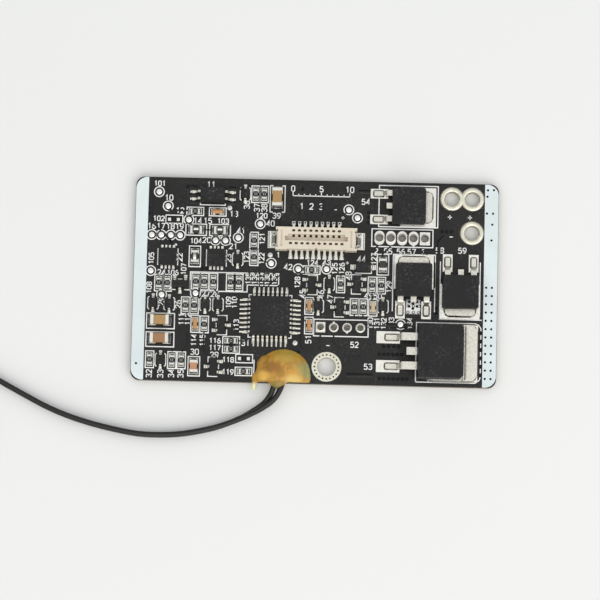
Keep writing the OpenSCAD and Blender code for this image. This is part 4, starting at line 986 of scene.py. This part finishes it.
class BOARD_OT_board(bpy.types.Operator):
    """Gives the board its mask, its white strips, and the rise of the tracks and covered vias, with
    painted shade in the strips' holes and the vias' dimples
    """
    bl_idname = "battery_board.board"
    bl_label = "Board"

    def execute(self, context):
        s = context.scene.board_finish
        dress(material_of("mask"), "circuit_board")
        dress(material_of("strip"), "left_strip", "right_strip")
        # Painted shade: dark discs over the strips' small holes stand for the shade inside them.
        holes = [(ring_points(x, y, 0.1), 0.2, True) for x, y in strip_holes()]
        ribbons("strip_hole_shade", holes, 0.012, material_of("via"),
                base=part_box("right_strip")[1].z / MM)
        ease_edges(0.04, "circuit_board", angle=50)
        ribbons("mask_over_tracks", [(points, width, False) for width, points in TRACKS],
                s.track_height / MM, material_of("mask"))
        bm = bmesh.new()
        vias = [(x + i * dx, y + i * dy) for x, y, dx, dy, n in VIA_RUNS for i in range(n)]
        for x, y in vias + DASHED_VIAS:
            dimple(bm, x, y)
        # Painted shade: the dimples take the near-black finish, darker than the mask, for the shade
        # in them.
        piece_from(bm, "covered_vias", material_of("via"))
        return {"FINISHED"}


def spun(bm, profile, x, y, steps=24):
    """Spins a profile of (radius, height) points round a standing line at x, y."""
    verts = [bm.verts.new((x + r, y, z)) for r, z in profile]
    edges = [bm.edges.new(pair) for pair in zip(verts, verts[1:])]
    if profile[0][0] > 0 and profile[-1][0] > 0 and len(profile) > 2:
        edges.append(bm.edges.new((verts[-1], verts[0])))
    bmesh.ops.spin(bm, geom=verts + edges, cent=(x, y, 0), axis=(0, 0, 1), dvec=(0, 0, 0),
                   angle=2 * math.pi, steps=steps, use_merge=True, use_duplicate=False)


def dimple(bm, x, y):
    """The mask drawn down into a via."""
    top = BOARD_TOP
    spun(bm, [(0.36, top - 0.01), (0.3, top + 0.018), (0.2, top + 0.026), (0.13, top + 0.016),
              (0.001, top + 0.004), (0.001, top - 0.01)], x, y, 14)


def strip_holes():
    """Middle of each small round hole in the two printed strips, in millimetres."""
    found = []
    for name in ("left_strip", "right_strip"):
        points = {tuple(round(c / MM, 3) for c in v.co[:2]) for v in NODES[name].data.vertices}
        while points:
            near = [points.pop()]
            for point in near:
                close = {p for p in points if math.dist(p, point) < 0.13}
                points -= close
                near.extend(close)
            x, y = (sum(p[i] for p in near) / len(near) for i in (0, 1))
            if len(near) > 7 and all(math.dist(p, (x, y)) < 0.3 for p in near):
                found.append((x, y))
    return found


class BOARD_OT_legend(bpy.types.Operator):
    """Prints the outlines, plain numbers and signs of the legend"""
    bl_idname = "battery_board.legend"
    bl_label = "Legend"

    def execute(self, context):
        s = context.scene.board_finish
        ink, width, height = material_of("print"), s.stroke_width / MM, s.stroke_height / MM
        ribbons("legend_outlines",
                [(points, width, closed) for points, closed in legend_outlines()],
                height, ink)
        ribbons("legend_numbers", [(points, width * 0.9, False) for points in
                                   legend_numbers(s.number_height / MM)],
                height, ink)
        ribbons("legend_dots", [(ring_points(x, y, r / 2), r, True) for x, y, r in DOTS],
                height, ink)
        left, right, front, back = PATCH
        ribbons("printed_patch", [([(left, (front + back) / 2), (right, (front + back) / 2)],
                                   back - front, False)], height, ink)
        ribbons("patch_vias", [(ring_points(x, y, 0.12), 0.24, True) for x, y in PATCH_DOTS],
                height + 0.015, material_of("via"))
        return {"FINISHED"}


# ---------------------------------------------------------------- lands, plating and solder

# Spread and rise of the levelled solder round the header holes and round the wire bores.
HEADER_SWELL, WIRE_SWELL = (0.26, 0.05), (0.78, 0.09)


def bores():
    """The bores that the record states: (x, y, radius) in millimetres."""
    return [(m["pos_m"][0] / MM, m["pos_m"][1] / MM, m["dims"]["r_mm"])
            for m in frame["record"]["mounts"] if m["kind"] == "bore"]


def barrel(bm, x, y, radius, wall=0.03):
    """The tinned lining of a hole."""
    spun(bm, [(radius - 0.001, 0.0), (radius - 0.001, LAND_TOP), (radius - wall, LAND_TOP),
              (radius - wall, 0.0)], x, y, 32)


def swell(bm, x, y, inner, width, rise):
    """Levelled solder standing a little proud round a hole."""
    outer, low = inner + width, LAND_TOP - 0.02
    spun(bm, [(inner, low), (inner, LAND_TOP), (inner + width * 0.14, LAND_TOP + rise * 0.75),
              (inner + width * 0.4, LAND_TOP + rise), (inner + width * 0.75, LAND_TOP + rise * 0.8),
              (outer, LAND_TOP + rise * 0.1), (outer, low)], x, y, 40)


class BOARD_OT_plating(bpy.types.Operator):
    """Tins the lands, lines the holes, raises the solder round them and paints shade round the header
    holes
    """
    bl_idname = "battery_board.plating"
    bl_label = "Lands and Plating"

    def execute(self, context):
        land = material_of("land")
        dress(land, "solder_lands", "row_five_rings", "row_four_rings")
        dress(material_of("ring"), "positive_wire_rings", "load_wire_ring", "cell_wire_ring")
        dress(material_of("dome"), "test_points")
        lining, domes, rings, rims = bmesh.new(), bmesh.new(), bmesh.new(), []
        for x, y, radius in bores():
            barrel(lining, x, y, radius)
            if radius < 1:
                swell(domes, x, y, radius, *HEADER_SWELL)
                # Painted shade: a dark ring round each header hole stands for the shade just inside
                # it.
                rims.append((ring_points(x, y, radius + 0.06), 0.13, True))
            elif radius < 1.5:
                swell(rings, x, y, radius, *WIRE_SWELL)
        ribbons("header_hole_shade_rings", rims, LAND_TOP - BOARD_TOP + 0.06, material_of("rim"))
        piece_from(lining, "hole_plating", material_of("lining"), merge=1e-4)
        piece_from(domes, "levelled_rings", land, merge=1e-4)
        piece_from(rings, "levelled_wire_rings", material_of("ring"), merge=1e-4)
        return {"FINISHED"}


def fillet(bm, foot, way, reach, height, width):
    """A concave fillet of solder that climbs a part's end face and runs out on its land."""
    made = bmesh.ops.create_grid(bm, x_segments=5, y_segments=4, size=0.5)
    across = Vector((-way.y, way.x, 0))
    for vertex in made["verts"]:
        out, side = vertex.co.x + 0.5, 2 * vertex.co.y
        bow = 1 - 0.35 * out * side * side
        rise = height * (1 - out) ** 2.2 * (1 - 0.3 * abs(side) ** 3) + 0.012
        spread = width * (0.5 + 0.06 * out * (1 - out))
        vertex.co = (foot + way * (reach * out * bow) + across * (side * spread)
                     + Vector((0, 0, rise)))
    faces = list({face for vertex in made["verts"] for face in vertex.link_faces})
    grown = bmesh.ops.extrude_face_region(bm, geom=faces)["geom"]
    for vertex in (g for g in grown if isinstance(g, bmesh.types.BMVert)):
        vertex.co.z = foot.z - 0.02


MOUND_RISE = 0.16


def mound(bm, tip, way, width, length):
    """Solder drawn up round the foot of a lead."""
    made = bmesh.ops.create_uvsphere(bm, u_segments=12, v_segments=6, radius=1)
    across = Vector((-way.y, way.x, 0))
    centre = tip - way * length * 0.36
    for vertex in made["verts"]:
        x, y, z = vertex.co
        x, y = (math.copysign(abs(c) ** 0.7, c) for c in (x, y))
        vertex.co = (centre + way * x * length * 0.72 + across * y * width * 0.76
                     + Vector((0, 0, max(z, -0.2) * MOUND_RISE)))


# Section of a skirt of solder: share of its spread, and share of its rise (millimetres below 0).
SKIRT_PROFILE = [(-0.1, -0.02), (0, 1), (0.22, 0.52), (0.55, 0.16), (1, 0.04), (1, -0.02)]


def skirt(bm, centre, half_x, half_y, spread, rise):
    """Solder drawn up all round an upright rectangle and hollow towards its land."""
    corner = 0.3 * min(half_x, half_y)
    loops = []
    for share, height in SKIRT_PROFILE:
        z = centre.z + (rise * height if height > 0 else height)
        grow = spread * share
        points = [(centre.x + i * (half_x - corner) + (corner + grow) * math.cos(math.radians(a)),
                   centre.y + j * (half_y - corner) + (corner + grow) * math.sin(math.radians(a)), z)
                  for i, j, start in ((1, 1, 0), (-1, 1, 90), (-1, -1, 180), (1, -1, 270))
                  for a in (start, start + 45, start + 90)]
        ring = [bm.verts.new(p) for p in points]
        loops.append([bm.edges.new((ring[k - 1], ring[k])) for k in range(len(ring))])
    for inner, outer in zip(loops, loops[1:] + loops[:1]):
        bmesh.ops.bridge_loops(bm, edges=inner + outer)


# Ends of chip parts, their bodies, reach of the solder, and share of the end's height it climbs.
CHIP_GROUPS = [
    ("small_resistor_ends", "small_resistors", 0.3, 0.75),
    ("small_capacitor_ends", "small_capacitors", 0.3, 0.6),
    ("middle_resistor_ends", "middle_resistors", 0.38, 0.75),
    ("middle_capacitor_ends", "middle_capacitor", 0.38, 0.5),
    *[("large_capacitor_ends_%d" % i, "large_capacitor_%d" % i, 0.5, 0.45) for i in (1, 2, 3)],
]
# Leads of the small packages, and their bodies.
LEAD_GROUPS = [("signal_leads", SIGNAL_BODIES), ("small_diode_leads", ["small_diodes"]),
               ("clamp_diode_leads", ["clamp_diode"]), ("coupler_leads", ["coupler_body"])]
# Mask that laps over the sides of the lands in a row: leads, body, width, and where it starts
# and ends, from the tips.
DAMMED = [("controller_leads", "controller_body", 0.44, -0.9, 0.4),
          ("cell_switch_terminals_1", "cell_switch_body_1", 0.32, -0.2, 0.4),
          ("cell_switch_terminals_2", "cell_switch_body_2", 0.32, -0.2, 0.4),
          ("coupler_leads", "coupler_body", 0.88, -0.9, 0.4),
          ("upper_contacts", "connector_housing", 0.42, -1.0, 0.4),
          ("upper_contacts", "connector_housing", 0.62, -1.0, -0.3),
          ("lower_contacts", "connector_housing", 0.48, -1.0, -0.3)]

# Middles of the bare lands where no chip is fitted.
EMPTY_LANDS = [(-25.95, 10.47), (-24.4, 10.47), (-12.95, -13.85), (-11.4, -13.85)]
# Length and width of the foot under each power package's leads.
POWER_FEET = {"battery_switch": (2.2, 0.85), "power_diode": (1.6, 0.78),
              "charge_switch": (1.6, 0.78), "load_switch": (1.6, 0.78)}


def chip_fillets(bm, ends, bodies, reach, climb):
    """Solder on the end faces of a group of chip parts."""
    around = solids(bodies)
    for box in solids(ends):
        away, size = middle(box) - middle(nearest(middle(box), around)), box[1] - box[0]
        way = Vector((0, 0, 0))
        axis = 0 if abs(away.x) > abs(away.y) else 1
        way[axis] = math.copysign(1, away[axis])
        foot = middle(box) + way * size[axis] / 2
        foot.z = LAND_TOP
        fillet(bm, foot - way * 0.01, way, reach, size.z * climb, size[1 - axis])


def contact_joints():
    """Rings of solder round the connector's upper contacts, and skirts round its lower ones, in
    bright tin as painted light where the housing shades them; each ring has painted shade in its
    middle.
    """
    bm, middles = bmesh.new(), []
    for tip, *_ in tips(["upper_contacts"], ["connector_housing"]):
        y = tip.y + 0.06
        spun(bm, [(0.16, LAND_TOP), (0.17, LAND_TOP + 0.28), (0.22, LAND_TOP + 0.31),
                  (0.29, LAND_TOP + 0.26), (0.34, LAND_TOP)], tip.x, y, 18)
        middles.append((ring_points(tip.x, y, 0.07), 0.12, True))
    # Painted light: bright tin on the rings, which the housing shades; painted shade in their
    # middles.
    piece_from(bm, "contact_rings", material_of("dome"))
    ribbons("contact_ring_shade", middles, 0.245, material_of("via"),
            base=LAND_TOP)
    bm = bmesh.new()
    for tip, way, width, _ in tips(["lower_contacts"], ["connector_housing"]):
        skirt(bm, tip - way * 0.3, width / 2, 0.3, 0.13, 0.2)
    piece_from(bm, "contact_joints", material_of("dome"))


def row_dams(leads, body, gap, start, end):
    """Strips of mask between the lands of each row of leads; wide ones stand beside it too."""
    rows, dams = {}, []
    for tip, way, *_ in tips([leads], [body]):
        across = Vector((-way.y, way.x, 0))
        key = (round(way.x), round(way.y), round(tip.dot(way) * 10))
        rows.setdefault(key, []).append((tip.dot(across), tip.dot(way), way, across))
    for row in rows.values():
        row.sort(key=lambda r: r[0])
        pitch = row[1][0] - row[0][0]
        places = [r[0] + pitch / 2 for r in row[:-1]]
        if gap > 0.5:
            places += [row[0][0] - pitch / 2, row[-1][0] + pitch / 2]
        out, way, across = row[0][1:]
        for place in places:
            dams.append(([(across * place + way * (out + reach))[:2] for reach in (start, end)],
                         gap, False))
    return dams


def power_joints(bm, part, foot_length, foot_width):
    """Solder round the tab and under the feet of a power package."""
    body = solids(part + "_body")[0]
    for box in solids(part + "_frame"):
        way, half, at = outward(box, body), (box[1] - box[0]) / 2, middle(box)
        axis = 0 if abs(way.x) > 0.5 else 1
        at.z = LAND_TOP
        if half[1 - axis] > 2:
            skirt(bm, at, half.x, half.y, 0.28, 0.34)
        elif box[0].z < LAND_TOP + 0.1:
            at[axis] = (box[1] if way[axis] > 0 else box[0])[axis] - way[axis] * foot_length / 2
            size = [0, 0]
            size[axis], size[1 - axis] = foot_length / 2, foot_width / 2
            skirt(bm, at, *size, 0.26, 0.4)


class BOARD_OT_solder(bpy.types.Operator):
    """Wets every end and lead with solder on its land"""
    bl_idname = "battery_board.solder"
    bl_label = "Solder"

    def execute(self, context):
        solder, mask = material_of("solder"), material_of("mask")
        bm = bmesh.new()
        for group in CHIP_GROUPS:
            chip_fillets(bm, *group)
        piece_from(bm, "chip_fillets", solder)
        bm = bmesh.new()
        for leads, bodies in LEAD_GROUPS:
            for tip, way, width, length in tips([leads], bodies):
                mound(bm, tip, way, width, min(length, 0.55))
        piece_from(bm, "lead_joints", material_of("end"))
        contact_joints()
        bars = []
        for tip, way, *_ in tips(["controller_leads"], ["controller_body"]):
            reach = 0.62 if way.y > 0.5 else 0.85
            bars.append(([(tip - way * 0.35)[:2], (tip + way * reach)[:2]], 0.34, False))
        ribbons("controller_solder", bars, 0.07, material_of("lead"),
                base=LAND_TOP - 0.02)
        ribbons("mask_dams", [dam for row in DAMMED for dam in row_dams(*row)],
                LAND_TOP - BOARD_TOP + 0.02, mask)
        edges = [(ring_points(x, y, 0.61), 0.22, True) for x, y in ring_places()]
        for x, y in EMPTY_LANDS:
            points, closed = rectangle(x, y, 0.41, 0.43)
            edges.append((points, 0.3, closed))
        ribbons("mask_openings", edges, 0.065, mask)
        bm = bmesh.new()
        for part, foot in POWER_FEET.items():
            power_joints(bm, part, *foot)
        piece_from(bm, "power_joints", solder)
        return {"FINISHED"}


# ---------------------------------------------------------------- parts

# Faint rings that the ejector pins leave on the power bodies: middle and radius.
EJECTOR_MARKS = [(17.5, 0.1, 0.32), (25.7, 0.0, 0.34), (19.6, -14.2, 0.34), (21.5, -9.4, 0.3),
                 (15.4, 13.6, 0.3)]


class BOARD_OT_packages(bpy.types.Operator):
    """Finishes the moulded packages and their leads"""
    bl_idname = "battery_board.packages"
    bl_label = "Packages"

    def execute(self, context):
        power = [part + "_body" for part in POWER_PARTS]
        frames = [part + "_frame" for part in POWER_PARTS]
        bodies = ["controller_body", "cell_switch_body_1", "cell_switch_body_2", "coupler_body",
                  "small_diodes", "clamp_diode", *SIGNAL_BODIES]
        leads = ["controller_leads", "cell_switch_terminals_1", "cell_switch_terminals_2",
                 "coupler_leads", "signal_leads", "small_diode_leads", "clamp_diode_leads"]
        dress(material_of("power mould"), *power)
        dress(material_of("mould"), *bodies)
        dress(material_of("lead"), *leads, *frames)
        ease_edges(0.08, *power)
        ease_edges(0.05, *bodies)
        ease_edges(0.03, *frames)
        bm = bmesh.new()
        for x, y, radius in EJECTOR_MARKS:
            top = nearest(Vector((x, y, LAND_TOP)), solids(*power))[1].z
            spun(bm, [(radius, top - 0.01), (radius, top + 0.012), (radius + 0.03, top + 0.018),
                      (radius + 0.06, top + 0.012), (radius + 0.06, top - 0.01)], x, y, 24)
        piece_from(bm, "ejector_marks", material_of("mould"))
        # Painted shade: a dark strip along the battery switch's tab, beside its body, stands for the
        # shade in the groove there.
        tab = max(solids("battery_switch_frame"), key=lambda box: middle(box).x)
        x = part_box("battery_switch_body")[1].x / MM + 0.3
        ribbons("tab_groove_shade", [([(x, tab[0].y + 0.15), (x, tab[1].y - 0.15)], 0.22, False)], 0.012,
                material_of("solder"), base=tab[1].z)
        return {"FINISHED"}


class BOARD_OT_connector(bpy.types.Operator):
    """Finishes the wafer connector's housing, contacts and anchors, with painted light and shade on
    the anchors
    """
    bl_idname = "battery_board.connector"
    bl_label = "Connector"

    def execute(self, context):
        dress(material_of("nylon"), "connector_housing")
        dress(material_of("contact"), "upper_contacts", "lower_contacts")
        dress(material_of("lead"), "left_anchor", "right_anchor")
        ease_edges(0.05, "connector_housing")
        bm, inner, outer, gaps = bmesh.new(), [], [], []
        for name in ("left_anchor", "right_anchor"):
            box = solids(name)[0]
            at = middle(box)
            side, half = math.copysign(1, at.x), (box[1] - box[0]) / 2
            x = at.x - side * (half.x - 0.67)
            for y in (-1.03, 1.03):
                spun(bm, [(0.2, LAND_TOP), (0.2, LAND_TOP + 0.42), (0.3, LAND_TOP + 0.52),
                          (0.4, LAND_TOP + 0.42), (0.4, LAND_TOP)], x, at.y + y, 20)
            # Painted light and shade on each anchor: a near-black strip for the shaded gap by its
            # arms, a dark strip for its bend, and bright tin on its outer plate, partly a painted
            # highlight.
            for runs, place, reach, width in (
                    (gaps, half.x - 0.34, half.y - 0.55, 0.22),
                    (inner, half.x - 0.7, half.y - 0.08, 0.46),
                    (outer, 0.4 - half.x, half.y - 0.05, 0.68)):
                x = at.x - side * place
                runs.append(([(x, at.y - reach), (x, at.y + reach)], width, False))
        piece_from(bm, "anchor_curls", material_of("end"))
        for name, runs, finish in (("anchor_gap_shade", gaps, "via"), ("anchor_bend_shade", inner, "solder"),
                                   ("anchor_plate_tin_and_highlight", outer, "dome")):
            ribbons(name, runs, 0.24, material_of(finish), base=LAND_TOP)
        return {"FINISHED"}


# Pale marks on the larger resistors: middle, and half their length and width.
RESISTOR_MARKS = [(-21.2, 8.85, 0.42, 0.24), (-17.0, 8.85, 0.42, 0.24), (-21.3, 3.9, 0.24, 0.7)]


def length_way(box, ends):
    """The axis that a chip part lies along, from the place of its nearer end."""
    away = middle(nearest(middle(box), solids(ends))) - middle(box)
    return Vector((1, 0, 0)) if abs(away.x) > abs(away.y) else Vector((0, 1, 0))


def sleeve_runs():
    """The strips of ceramic along the small capacitors, which reach over their ends."""
    runs = []
    for box in solids("small_capacitors"):
        size, at = box[1] - box[0], middle(box)
        way = length_way(box, "small_capacitor_ends")
        across = Vector((way.y, way.x, 0))
        ends = [(at + way * side * (size.dot(way) / 2 + 0.17))[:2] for side in (-1, 1)]
        runs.append((ends, size.dot(across) - 0.04, False))
    return runs


def dash_runs():
    """Two faint dashes along the top of each small resistor."""
    runs = []
    for box in solids("small_resistors"):
        at, way = middle(box), length_way(box, "small_resistor_ends")
        across = Vector((way.y, way.x, 0))
        for side in (-0.16, 0.16):
            runs.append(([(at + across * side + way * reach)[:2] for reach in (-0.2, 0.2)],
                         0.13, False))
    return runs


class BOARD_OT_chips(bpy.types.Operator):
    """Finishes the chip resistors and capacitors"""
    bl_idname = "battery_board.chips"
    bl_label = "Chip Parts"

    def execute(self, context):
        s = context.scene.parts_finish
        dress(material_of("coat"), "small_resistors", "middle_resistors")
        dress(ceramic_material("Small Capacitor Ceramic", s.small_capacitor_colour,
                               PALE_CERAMIC, split=5), "small_capacitors")
        dress(ceramic_material("Middle Capacitor Ceramic", MIDDLE_CERAMIC), "middle_capacitor")
        colours = [s.large_capacitor_colour, s.large_capacitor_colour, BROWN_CERAMIC]
        for i, (name, colour) in enumerate(zip(LARGE_CAPACITORS, colours), 1):
            dress(ceramic_material("Large Capacitor Ceramic %d" % i, colour), name)
        ribbons("small_capacitor_sleeves", sleeve_runs(), 0.012,
                NODES["small_capacitors"].data.materials[0],
                base=solids("small_capacitor_ends")[0][1].z)
        grey = ["small_resistor_ends", "middle_resistor_ends"]
        bright = ["small_capacitor_ends", "middle_capacitor_ends"]
        bright += ["large_capacitor_ends_%d" % i for i in (1, 2, 3)]
        dress(material_of("grey end"), *grey)
        dress(material_of("end"), *bright)
        ease_edges(0.05, "small_resistors", "small_capacitors", "middle_resistors")
        marks = []
        for x, y, half_x, half_y in RESISTOR_MARKS:
            top = nearest(Vector((x, y, LAND_TOP)), solids("middle_resistors"))[1].z
            marks.append(([(x - half_x, y), (x + half_x, y)], 2 * half_y, False))
        ribbons("resistor_marks", marks, 0.015, material_of("contact"), base=top)
        ribbons("small_resistor_marks", dash_runs(), 0.012, material_of("faint print"),
                base=solids("small_resistors")[-1][1].z)
        ease_edges(0.1, "middle_capacitor", *LARGE_CAPACITORS)
        ease_edges(0.06, *grey, *bright)
        return {"FINISHED"}


# ---------------------------------------------------------------- sealant

# Rounded lumps that the sealant is poured from: middle, and radii along X, Y and Z.
# The first ones stop at the board's front edge; the others run over it.
SEAL_DOMES = [
    (-5.2, -16.3, 1.6, 4.3, 4.05, 2.1), (-5.25, -16.5, 1.6, 4.85, 4.55, 1.25),
    (-8.4, -16.6, 1.6, 1.75, 2.3, 1.5), (-1.6, -16.9, 1.6, 1.25, 1.9, 0.75),
    (-8.3, -15.05, 1.6, 1.65, 2.0, 1.0), (-5.1, -12.9, 1.6, 1.1, 0.95, 0.9),
]
SEAL_FRONT = -17.85
SEAL_UNDER = 0.9                  # lowest height of the sealant, beside the board's edge
SEAL_CELL, SEAL_PASSES = 0.14, 24  # cell size that joins the lumps, and passes that soften them
SEAL_LUMPS = [
    (-6.2, -17.8, 1.95, 1.5, 1.3, 1.2), (-10.2, -17.3, 1.6, 0.6, 1.1, 0.4),
    (-10.35, -18.4, 1.42, 0.45, 1.2, 0.32),
]


# Soft patches of another colour in the sealant: middle, radius, how far the clouds reach, colour. The
# bright patch at the front (-3.3, -17.4) is a painted highlight on the rounded front edge.
SEAL_TONES_AND_HIGHLIGHT = [
    (-4.6, -12.9, 3.0, 0.7, (0.5, 0.33, 0.055)), (-7.2, -15.3, 2.2, 0.9, (0.34, 0.155, 0.018)),
    (-8.9, -16.9, 1.7, 0.8, (0.68, 0.4, 0.07)), (-3.3, -17.4, 1.9, 0.6, (0.7, 0.47, 0.12)),
    (-10.5, -18.9, 1.7, 0.3, (0.8, 0.78, 0.45)), (-6.2, -18.6, 1.6, 0.3, (0.27, 0.2, 0.045)),
    (-0.4, -15.6, 3.4, 0.8, (0.35, 0.33, 0.13)),
]


def seal_material(s):
    """Cloudy amber compound, orange where it is thick and pale yellow at its feet, with a painted
    highlight along its front edge.
    """
    material, tree, sockets = new_material(
        "Amber Sealant", IOR=1.46, Subsurface_Weight=0.15, Subsurface_Scale=0.0006)
    point = place_of(tree)
    axes = axes_of(tree, point)
    cloud = add(tree, "TexNoise", {"Vector": point, "Scale": 520.0, "Detail": 3.0,
                                   "Roughness": 0.55, "Distortion": 0.8}).outputs["Fac"]

    def zone(x, y, radius, soft):
        """1 in the middle of an oval patch, falling to 0 at its ragged edge."""
        dx = maths(tree, "DIVIDE", maths(tree, "SUBTRACT", axes["X"], x * MM), radius * MM)
        dy = maths(tree, "DIVIDE", maths(tree, "SUBTRACT", axes["Y"], y * MM), radius * MM * 0.6)
        far = maths(tree, "SQRT", maths(tree, "ADD", maths(tree, "MULTIPLY", dx, dx),
                                        maths(tree, "MULTIPLY", dy, dy)))
        far = maths(tree, "ADD", far, maths(tree, "MULTIPLY", cloud, soft))
        return limits(tree, far, 1.15 + soft / 2, 0.35 + soft / 2)

    colour = blend(tree, limits(tree, cloud, 0.35, 0.65), shade(s.seal_colour, 0.85),
                   shade(s.seal_colour, 1.3))
    # The patches: tones of the compound, and one painted highlight at the front.
    for *place, patch in SEAL_TONES_AND_HIGHLIGHT:
        colour = blend(tree, zone(*place), colour, rgb(patch))
    feed(tree, sockets["Base Color"], colour)
    feed(tree, sockets["Roughness"], limits(tree, cloud, 0.3, 0.7, 0.22, 0.36))
    bump(tree, sockets, cloud, 0.03, 0.5)
    return material


def cut_off(bm, point, normal):
    """Cuts a closed shape with a plane, drops the side the normal points to and fills the cut."""
    cut = bmesh.ops.bisect_plane(bm, geom=bm.verts[:] + bm.edges[:] + bm.faces[:], plane_co=point,
                                 plane_no=normal, clear_outer=True)["geom_cut"]
    bmesh.ops.holes_fill(bm, edges=[g for g in cut if isinstance(g, bmesh.types.BMEdge)])


class BOARD_OT_sealant(bpy.types.Operator):
    """Pours the amber sealant over the lead's joint at the front edge"""
    bl_idname = "battery_board.sealant"
    bl_label = "Sealant"

    def execute(self, context):
        bm = bmesh.new()
        for lumps in (SEAL_DOMES, SEAL_LUMPS):
            for x, y, z, rx, ry, rz in lumps:
                shape = Matrix.Translation((x, y, z)) @ Matrix.Diagonal((rx, ry, rz, 1))
                bmesh.ops.create_icosphere(bm, subdivisions=4, radius=1, matrix=shape)
            if lumps is SEAL_DOMES:
                cut_off(bm, (0, SEAL_FRONT, 0), (0, -1, 0))
        seal = piece_from(bm, "amber_sealant", seal_material(context.scene.lead_finish))
        joined = seal.modifiers.new("Joined", "REMESH")
        joined.mode, joined.voxel_size, joined.use_smooth_shade = "VOXEL", SEAL_CELL * MM, True
        settled = seal.modifiers.new("Settled", "SMOOTH")
        settled.factor, settled.iterations = 0.5, SEAL_PASSES
        shape = seal.evaluated_get(bpy.context.evaluated_depsgraph_get())
        poured = bmesh.new()
        poured.from_mesh(bpy.data.meshes.new_from_object(shape))
        seal.modifiers.clear()
        cut_off(poured, (0, 0, SEAL_UNDER * MM), (0, 0, -1))
        poured.to_mesh(seal.data)
        poured.free()
        for face in seal.data.polygons:
            face.use_smooth = True
        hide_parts("sealing_blob")
        return {"FINISHED"}


# ---------------------------------------------------------------- stage

CAMERA_TARGET = (-2.617, -3.291, 1.6)
CAMERA_DISTANCE = 430.0
CAMERA_HEIGHT, CAMERA_SIDE, CAMERA_ROLL = 83.5, 4.4, 1.409
SKY_COLOUR = (0.97, 0.985, 1)
KEY_PLACE, KEY_SIZE, KEY_COLOUR = (0.25, -0.5, 0.55), 1.2, (1, 0.98, 0.95)


def stage_material(s):
    """A plain pale floor, barely uneven."""
    material, tree, sockets = new_material("Pale Floor", Roughness=0.9, IOR=1.3)
    place = place_of(tree)
    soft = add(tree, "TexNoise", {"Vector": place, "Scale": 6.0, "Detail": 2.0}).outputs["Fac"]
    feed(tree, sockets["Base Color"],
         blend(tree, limits(tree, soft, 0.3, 0.7), rgb(s.floor_colour),
               shade(s.floor_colour, 0.985)))
    return material


def add_camera(scene, focal_length):
    """The camera, almost straight above the board."""
    el, az, roll = (math.radians(a) for a in (CAMERA_HEIGHT, CAMERA_SIDE, CAMERA_ROLL))
    back = Vector((math.sin(az) * math.cos(el), -math.cos(az) * math.cos(el), math.sin(el)))
    up = Vector((-math.sin(roll), math.cos(roll), 0))
    right = up.cross(back).normalized()
    turn = Matrix((right, back.cross(right), back)).transposed().to_4x4()
    lens = bpy.data.cameras.new("Camera")
    lens.lens, lens.sensor_width = focal_length, 36.0
    lens.clip_start, lens.clip_end = 0.01, 20.0
    camera = bpy.data.objects.new("Camera", lens)
    camera.matrix_world = Matrix.Translation(
        (Vector(CAMERA_TARGET) + back * CAMERA_DISTANCE) * MM) @ turn
    scene.collection.objects.link(camera)
    scene.camera = camera


def add_floor(scene, s):
    """A wide plain floor under the board."""
    bm = bmesh.new()
    bmesh.ops.create_grid(bm, x_segments=4, y_segments=4, size=2.5)
    mesh = bpy.data.meshes.new("Floor")
    bm.to_mesh(mesh)
    bm.free()
    floor = bpy.data.objects.new("Floor", mesh)
    mesh.materials.append(stage_material(s))
    scene.collection.objects.link(floor)


def add_light(scene, s):
    """Even light from above, weaker from the sides, and one large soft light."""
    world = bpy.data.worlds.new("Overhead Light")
    world.use_nodes = True
    tree = world.node_tree
    sky = tree.nodes["Background"].inputs
    up = axes_of(tree, add(tree, "TexCoord").outputs["Generated"])["Z"]
    feed(tree, sky["Color"], blend(tree, limits(tree, up, 0.05, 0.9),
                                   shade(SKY_COLOUR, s.horizon_share), rgb(SKY_COLOUR)))
    sky["Strength"].default_value = s.world_strength
    scene.world = world
    light = bpy.data.lights.new("Soft Box", "AREA")
    light.shape, light.size = "SQUARE", KEY_SIZE
    light.energy, light.color = s.key_power, KEY_COLOUR
    lamp = bpy.data.objects.new("Soft Box", light)
    lamp.location = KEY_PLACE
    lamp.rotation_euler = (-Vector(KEY_PLACE)).to_track_quat("-Z", "Y").to_euler()
    scene.collection.objects.link(lamp)


class BOARD_OT_stage(bpy.types.Operator):
    """Sets the camera, the plain floor and the soft light"""
    bl_idname = "battery_board.stage"
    bl_label = "Stage"

    def execute(self, context):
        scene = context.scene
        add_camera(scene, scene.stage_finish.focal_length)
        add_floor(scene, scene.stage_finish)
        add_light(scene, scene.stage_finish)
        scene.view_settings.view_transform = "Standard"
        return {"FINISHED"}


class BOARD_PT_finish(bpy.types.Panel):
    """Sizes, colours and steps of the finished board"""
    bl_label = "Battery Board"
    bl_idname = "BOARD_PT_finish"
    bl_space_type = "VIEW_3D"
    bl_region_type = "UI"
    bl_category = "Board"

    def draw(self, context):
        for step in STEPS:
            self.layout.operator(step.bl_idname)
        for group, kind in FINISHES.items():
            box = self.layout.box()
            for name in kind.__annotations__:
                box.prop(getattr(context.scene, group), name)


STEPS = [BOARD_OT_sensor_lead, BOARD_OT_board, BOARD_OT_legend, BOARD_OT_plating,
         BOARD_OT_packages, BOARD_OT_connector, BOARD_OT_chips, BOARD_OT_solder,
         BOARD_OT_sealant, BOARD_OT_stage]


def register():
    for kind in [*FINISHES.values(), *STEPS, BOARD_PT_finish]:
        bpy.utils.register_class(kind)
    for name, kind in FINISHES.items():
        setattr(bpy.types.Scene, name, bpy.props.PointerProperty(type=kind))


def unregister():
    for name in FINISHES:
        delattr(bpy.types.Scene, name)
    for kind in reversed([*FINISHES.values(), *STEPS, BOARD_PT_finish]):
        bpy.utils.unregister_class(kind)


def main():
    """Runs every step, the stage first."""
    register()
    bpy.ops.battery_board.stage()
    for step in STEPS[:-1]:
        group, name = step.bl_idname.split(".")
        getattr(getattr(bpy.ops, group), name)()


if __name__ == "__main__":
    main()
